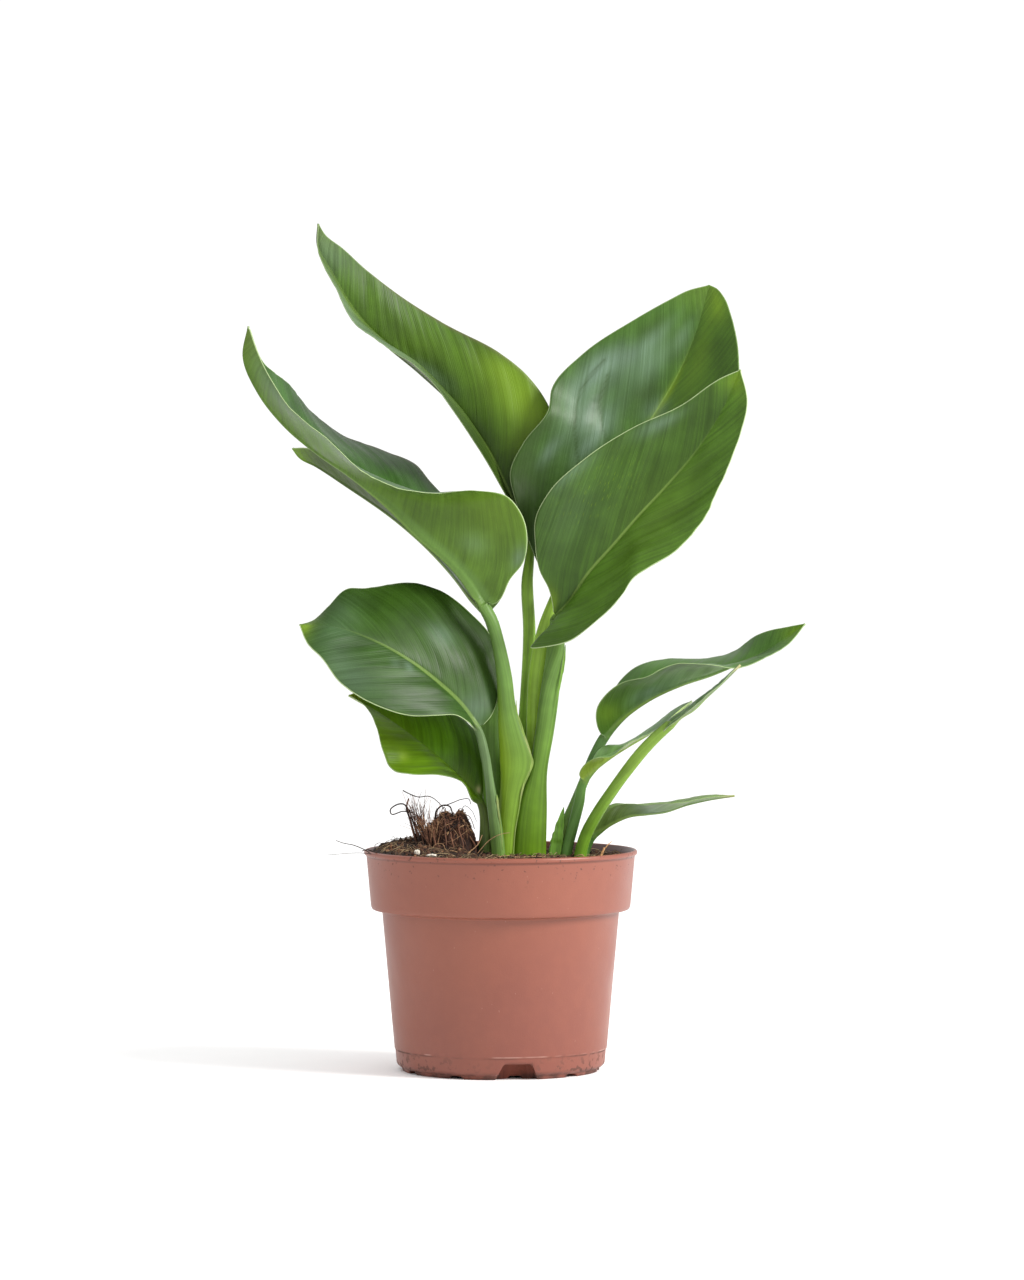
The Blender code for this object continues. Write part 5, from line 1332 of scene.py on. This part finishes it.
def add_bits():
    """The perlite on the soil, which is a ball of 2.6 mm, a flat chip and small grains, and the straw."""
    parts = []
    for index, (x, y, size) in enumerate(PERLITE):
        height = rough_soil(np.array([x]), np.array([y]))[0] + 0.9 * size[2]
        parts.append(ball(np.array([x, y, height]), size, 40 + index))
    white = (colour("#9A9080"), colour("#D8D2C6"))
    material = grained_material("perlite", 1.5, 1600.0, white, (0.35, 0.6), (0.7, 0.9), 0.3)
    add_piece("perlite", *join(parts), "peat", material)
    paths, sizes = zip(*STRAW)
    points, faces = tubes(curves(paths, STRAW_POINTS), sizes, 0.7, 8)
    material = peat_material("straw")
    add_piece("straw", points, faces, "peat", material, tint=np.full(len(points), 0.7))


def add_sheath_edges():
    """Dried sheath edges: strips along a path, 0.3 mm thick, waved and frayed on both sides."""
    parts, greens = [], []
    across = np.linspace(-1, 1, 7)
    run = np.arange(SHEATH_POINTS) / 4.0
    for index, (green, path) in enumerate(SHEATH_EDGES):
        curve = smooth_curve(path, np.linspace(0, 1, SHEATH_POINTS))
        centre, half = curve[:, :3], curve[:, 3]
        forward = unit(np.gradient(centre, axis=0))
        side = unit(np.cross(forward, np.array([0.0, -1.0, 0.0])))
        front = np.cross(side, forward)
        fray = 1 + 0.16 * soft_noise(run * 0.9, run * 0 + index, 60)
        wave = 0.3 * soft_noise(run * 0.6, run * 0 + 3 * index, 61)
        middle = centre[:, None] + side[:, None] * (across[:, None] * (half * fray)[:, None, None])
        middle = middle + front[:, None] * (0.3 * across**2 * half[:, None] + wave[:, None])[..., None]
        thick = front[:, None] * (0.13 * (1 - 0.7 * across**2))[None, :, None]
        ring = np.concatenate([middle + thick, (middle - thick)[:, ::-1]], axis=1)
        parts.append((ring.reshape(-1, 3), capped(SHEATH_POINTS, ring.shape[1])))
        greens.append(np.full(ring.size // 3, green))
    add_piece("sheath_edges", *join(parts), "leaf_light", paper_material(), green=np.concatenate(greens))


def add_stage(settings):
    """The floor, a large soft lamp at the right, a pale sky all round, and the camera."""
    angle = around(FLOOR_STEPS)
    disc = np.stack([np.cos(angle), np.sin(angle), 0 * angle], axis=-1) * settings.floor_radius
    mesh = bpy.data.meshes.new("floor")
    mesh.from_pydata(disc.tolist(), [], [list(range(FLOOR_STEPS))])
    white = (settings.floor_colour[:], colour("#FDFDFD"))
    mesh.materials.append(
        grained_material("matt_white_board", 1.45, 30.0, white, (0.3, 0.7), (0.85, 0.95), 0.02))
    floor = bpy.data.objects.new("floor", mesh)
    bpy.context.scene.collection.objects.link(floor)

    def aimed(item, place, target):
        item.location = place
        item.rotation_euler = (Vector(target) - Vector(place)).to_track_quat("-Z", "Y").to_euler()
        bpy.context.scene.collection.objects.link(item)

    lamp = bpy.data.lights.new("key_lamp", "AREA")
    lamp.shape = "DISK"
    lamp.size = 1.1
    lamp.energy = settings.lamp_power
    lamp.color = (1.0, 0.985, 0.96)
    aimed(bpy.data.objects.new("key_lamp", lamp), LAMP_PLACE, LAMP_AIM)

    world = bpy.data.worlds.new("pale_sky")
    world.use_nodes = True
    sky = world.node_tree.nodes["Background"]
    sky.inputs["Color"].default_value = (1.0, 1.0, 1.0, 1.0)
    sky.inputs["Strength"].default_value = SKY_STRENGTH
    bpy.context.scene.world = world
    bpy.context.scene.view_settings.view_transform = "Standard"

    camera = bpy.data.cameras.new("camera")
    camera.lens = CAMERA_LENS
    camera.sensor_width = 36.0
    camera.clip_end = 30.0
    view = bpy.data.objects.new("camera", camera)
    aimed(view, CAMERA_PLACE, CAMERA_AIM)
    bpy.context.scene.camera = view


# The add-on


class PotSettings(bpy.types.PropertyGroup):
    plastic_colour: FloatVectorProperty(
        name="Plastic colour", description="Colour of the moulded plastic", subtype="COLOR", size=4,
        min=0.0, max=1.0, default=colour(PLASTIC))
    dirt: FloatProperty(
        name="Dirt", description="How much dry peat clings to the pot", subtype="FACTOR",
        min=0.0, max=1.0, default=0.9)
    wall_steps: IntProperty(
        name="Steps", description="Flat facets round the pot", min=24, max=400, default=300)


class SoilSettings(bpy.types.PropertyGroup):
    crumbs: IntProperty(name="Crumbs", description="Lumps of peat on the soil", min=0, max=4000, default=2800)
    fibres: IntProperty(name="Fibres", description="Fibres lying on the soil", min=1, max=2000, default=620)
    fine_roots: IntProperty(
        name="Fine roots", description="Fine roots on the old root knot", min=1, max=1000, default=340)


class LeafSettings(bpy.types.PropertyGroup):
    blade_thickness: FloatProperty(
        name="Blade thickness", description="Thickness of a blade beside its rib", subtype="DISTANCE",
        unit="LENGTH", min=0.0002, max=0.002, default=0.0007)
    ripple: FloatProperty(
        name="Ripple", description="Height of the ripples along the veins", subtype="DISTANCE",
        unit="LENGTH", min=0.0, max=0.002, default=0.00022)
    vein_spacing: FloatProperty(
        name="Vein spacing", description="Distance between side veins", subtype="DISTANCE",
        unit="LENGTH", min=0.0005, max=0.01, default=0.0016)
    wax: FloatProperty(
        name="Wax", description="Strength of the waxy film over the leaf", subtype="FACTOR",
        min=0.0, max=1.0, default=0.04)


class StageSettings(bpy.types.PropertyGroup):
    floor_radius: FloatProperty(
        name="Floor radius", description="Radius of the floor", subtype="DISTANCE", unit="LENGTH",
        min=1.0, max=20.0, default=9.0)
    floor_colour: FloatVectorProperty(
        name="Floor colour", description="Colour of the floor", subtype="COLOR", size=4,
        min=0.0, max=1.0, default=(0.97, 0.97, 0.97, 1.0))
    lamp_power: FloatProperty(
        name="Lamp power", description="Power of the soft lamp", unit="POWER",
        min=0.0, max=1000.0, default=92.0)


class AddPot(bpy.types.Operator):
    """Adds the moulded nursery pot"""

    bl_idname = "potted_plant.add_pot"
    bl_label = "Pot"

    def execute(self, context):
        add_pot(context.scene.plant_pot)
        return {"FINISHED"}


class AddSoil(bpy.types.Operator):
    """Adds the peat with its crumbs, fibres, perlite and straw"""

    bl_idname = "potted_plant.add_soil"
    bl_label = "Peat"

    def execute(self, context):
        settings = context.scene.plant_soil
        add_soil()
        add_crumbs(settings)
        add_fibres(settings)
        add_bits()
        return {"FINISHED"}


class AddRoots(bpy.types.Operator):
    """Adds the knot of old roots"""

    bl_idname = "potted_plant.add_roots"
    bl_label = "Old roots"

    def execute(self, context):
        add_roots(context.scene.plant_soil)
        return {"FINISHED"}


class AddLeaves(bpy.types.Operator):
    """Adds the eleven leaves on their stalks"""

    bl_idname = "potted_plant.add_leaves"
    bl_label = "Leaves"

    def execute(self, context):
        for seed, name in enumerate(LEAVES):
            add_leaf(name, context.scene.plant_leaf, seed)
        return {"FINISHED"}


class AddSheathEdges(bpy.types.Operator):
    """Adds the dried edges of the leaf sheaths"""

    bl_idname = "potted_plant.add_sheath_edges"
    bl_label = "Sheath edges"

    def execute(self, context):
        add_sheath_edges()
        return {"FINISHED"}


class AddStage(bpy.types.Operator):
    """Adds the floor, the light and the camera"""

    bl_idname = "potted_plant.add_stage"
    bl_label = "Studio"

    def execute(self, context):
        add_stage(context.scene.plant_stage)
        return {"FINISHED"}


class PlantPanel(bpy.types.Panel):
    """The pieces of the plant and their settings"""

    bl_idname = "VIEW3D_PT_potted_plant"
    bl_label = "Potted bird of paradise"
    bl_space_type = "VIEW_3D"
    bl_region_type = "UI"
    bl_category = "Plant"

    def draw(self, context):
        for operator in OPERATORS:
            self.layout.operator(operator.bl_idname)
        for group in SETTINGS:
            box = self.layout.box()
            values = getattr(context.scene, group)
            for key in values.bl_rna.properties.keys():
                if key not in ("rna_type", "name"):
                    box.prop(values, key)


OPERATORS = (AddStage, AddPot, AddSoil, AddRoots, AddLeaves, AddSheathEdges)
SETTINGS = {
    "plant_pot": PotSettings,
    "plant_soil": SoilSettings,
    "plant_leaf": LeafSettings,
    "plant_stage": StageSettings,
}


def register():
    for group, kind in SETTINGS.items():
        bpy.utils.register_class(kind)
        setattr(bpy.types.Scene, group, PointerProperty(type=kind))
    for kind in (*OPERATORS, PlantPanel):
        bpy.utils.register_class(kind)


def unregister():
    for kind in (PlantPanel, *OPERATORS[::-1]):
        bpy.utils.unregister_class(kind)
    for group, kind in SETTINGS.items():
        delattr(bpy.types.Scene, group)
        bpy.utils.unregister_class(kind)


def main():
    register()
    bpy.ops.potted_plant.add_stage()
    bpy.ops.potted_plant.add_pot()
    bpy.ops.potted_plant.add_soil()
    bpy.ops.potted_plant.add_roots()
    bpy.ops.potted_plant.add_leaves()
    bpy.ops.potted_plant.add_sheath_edges()


if __name__ == "__main__":
    main()
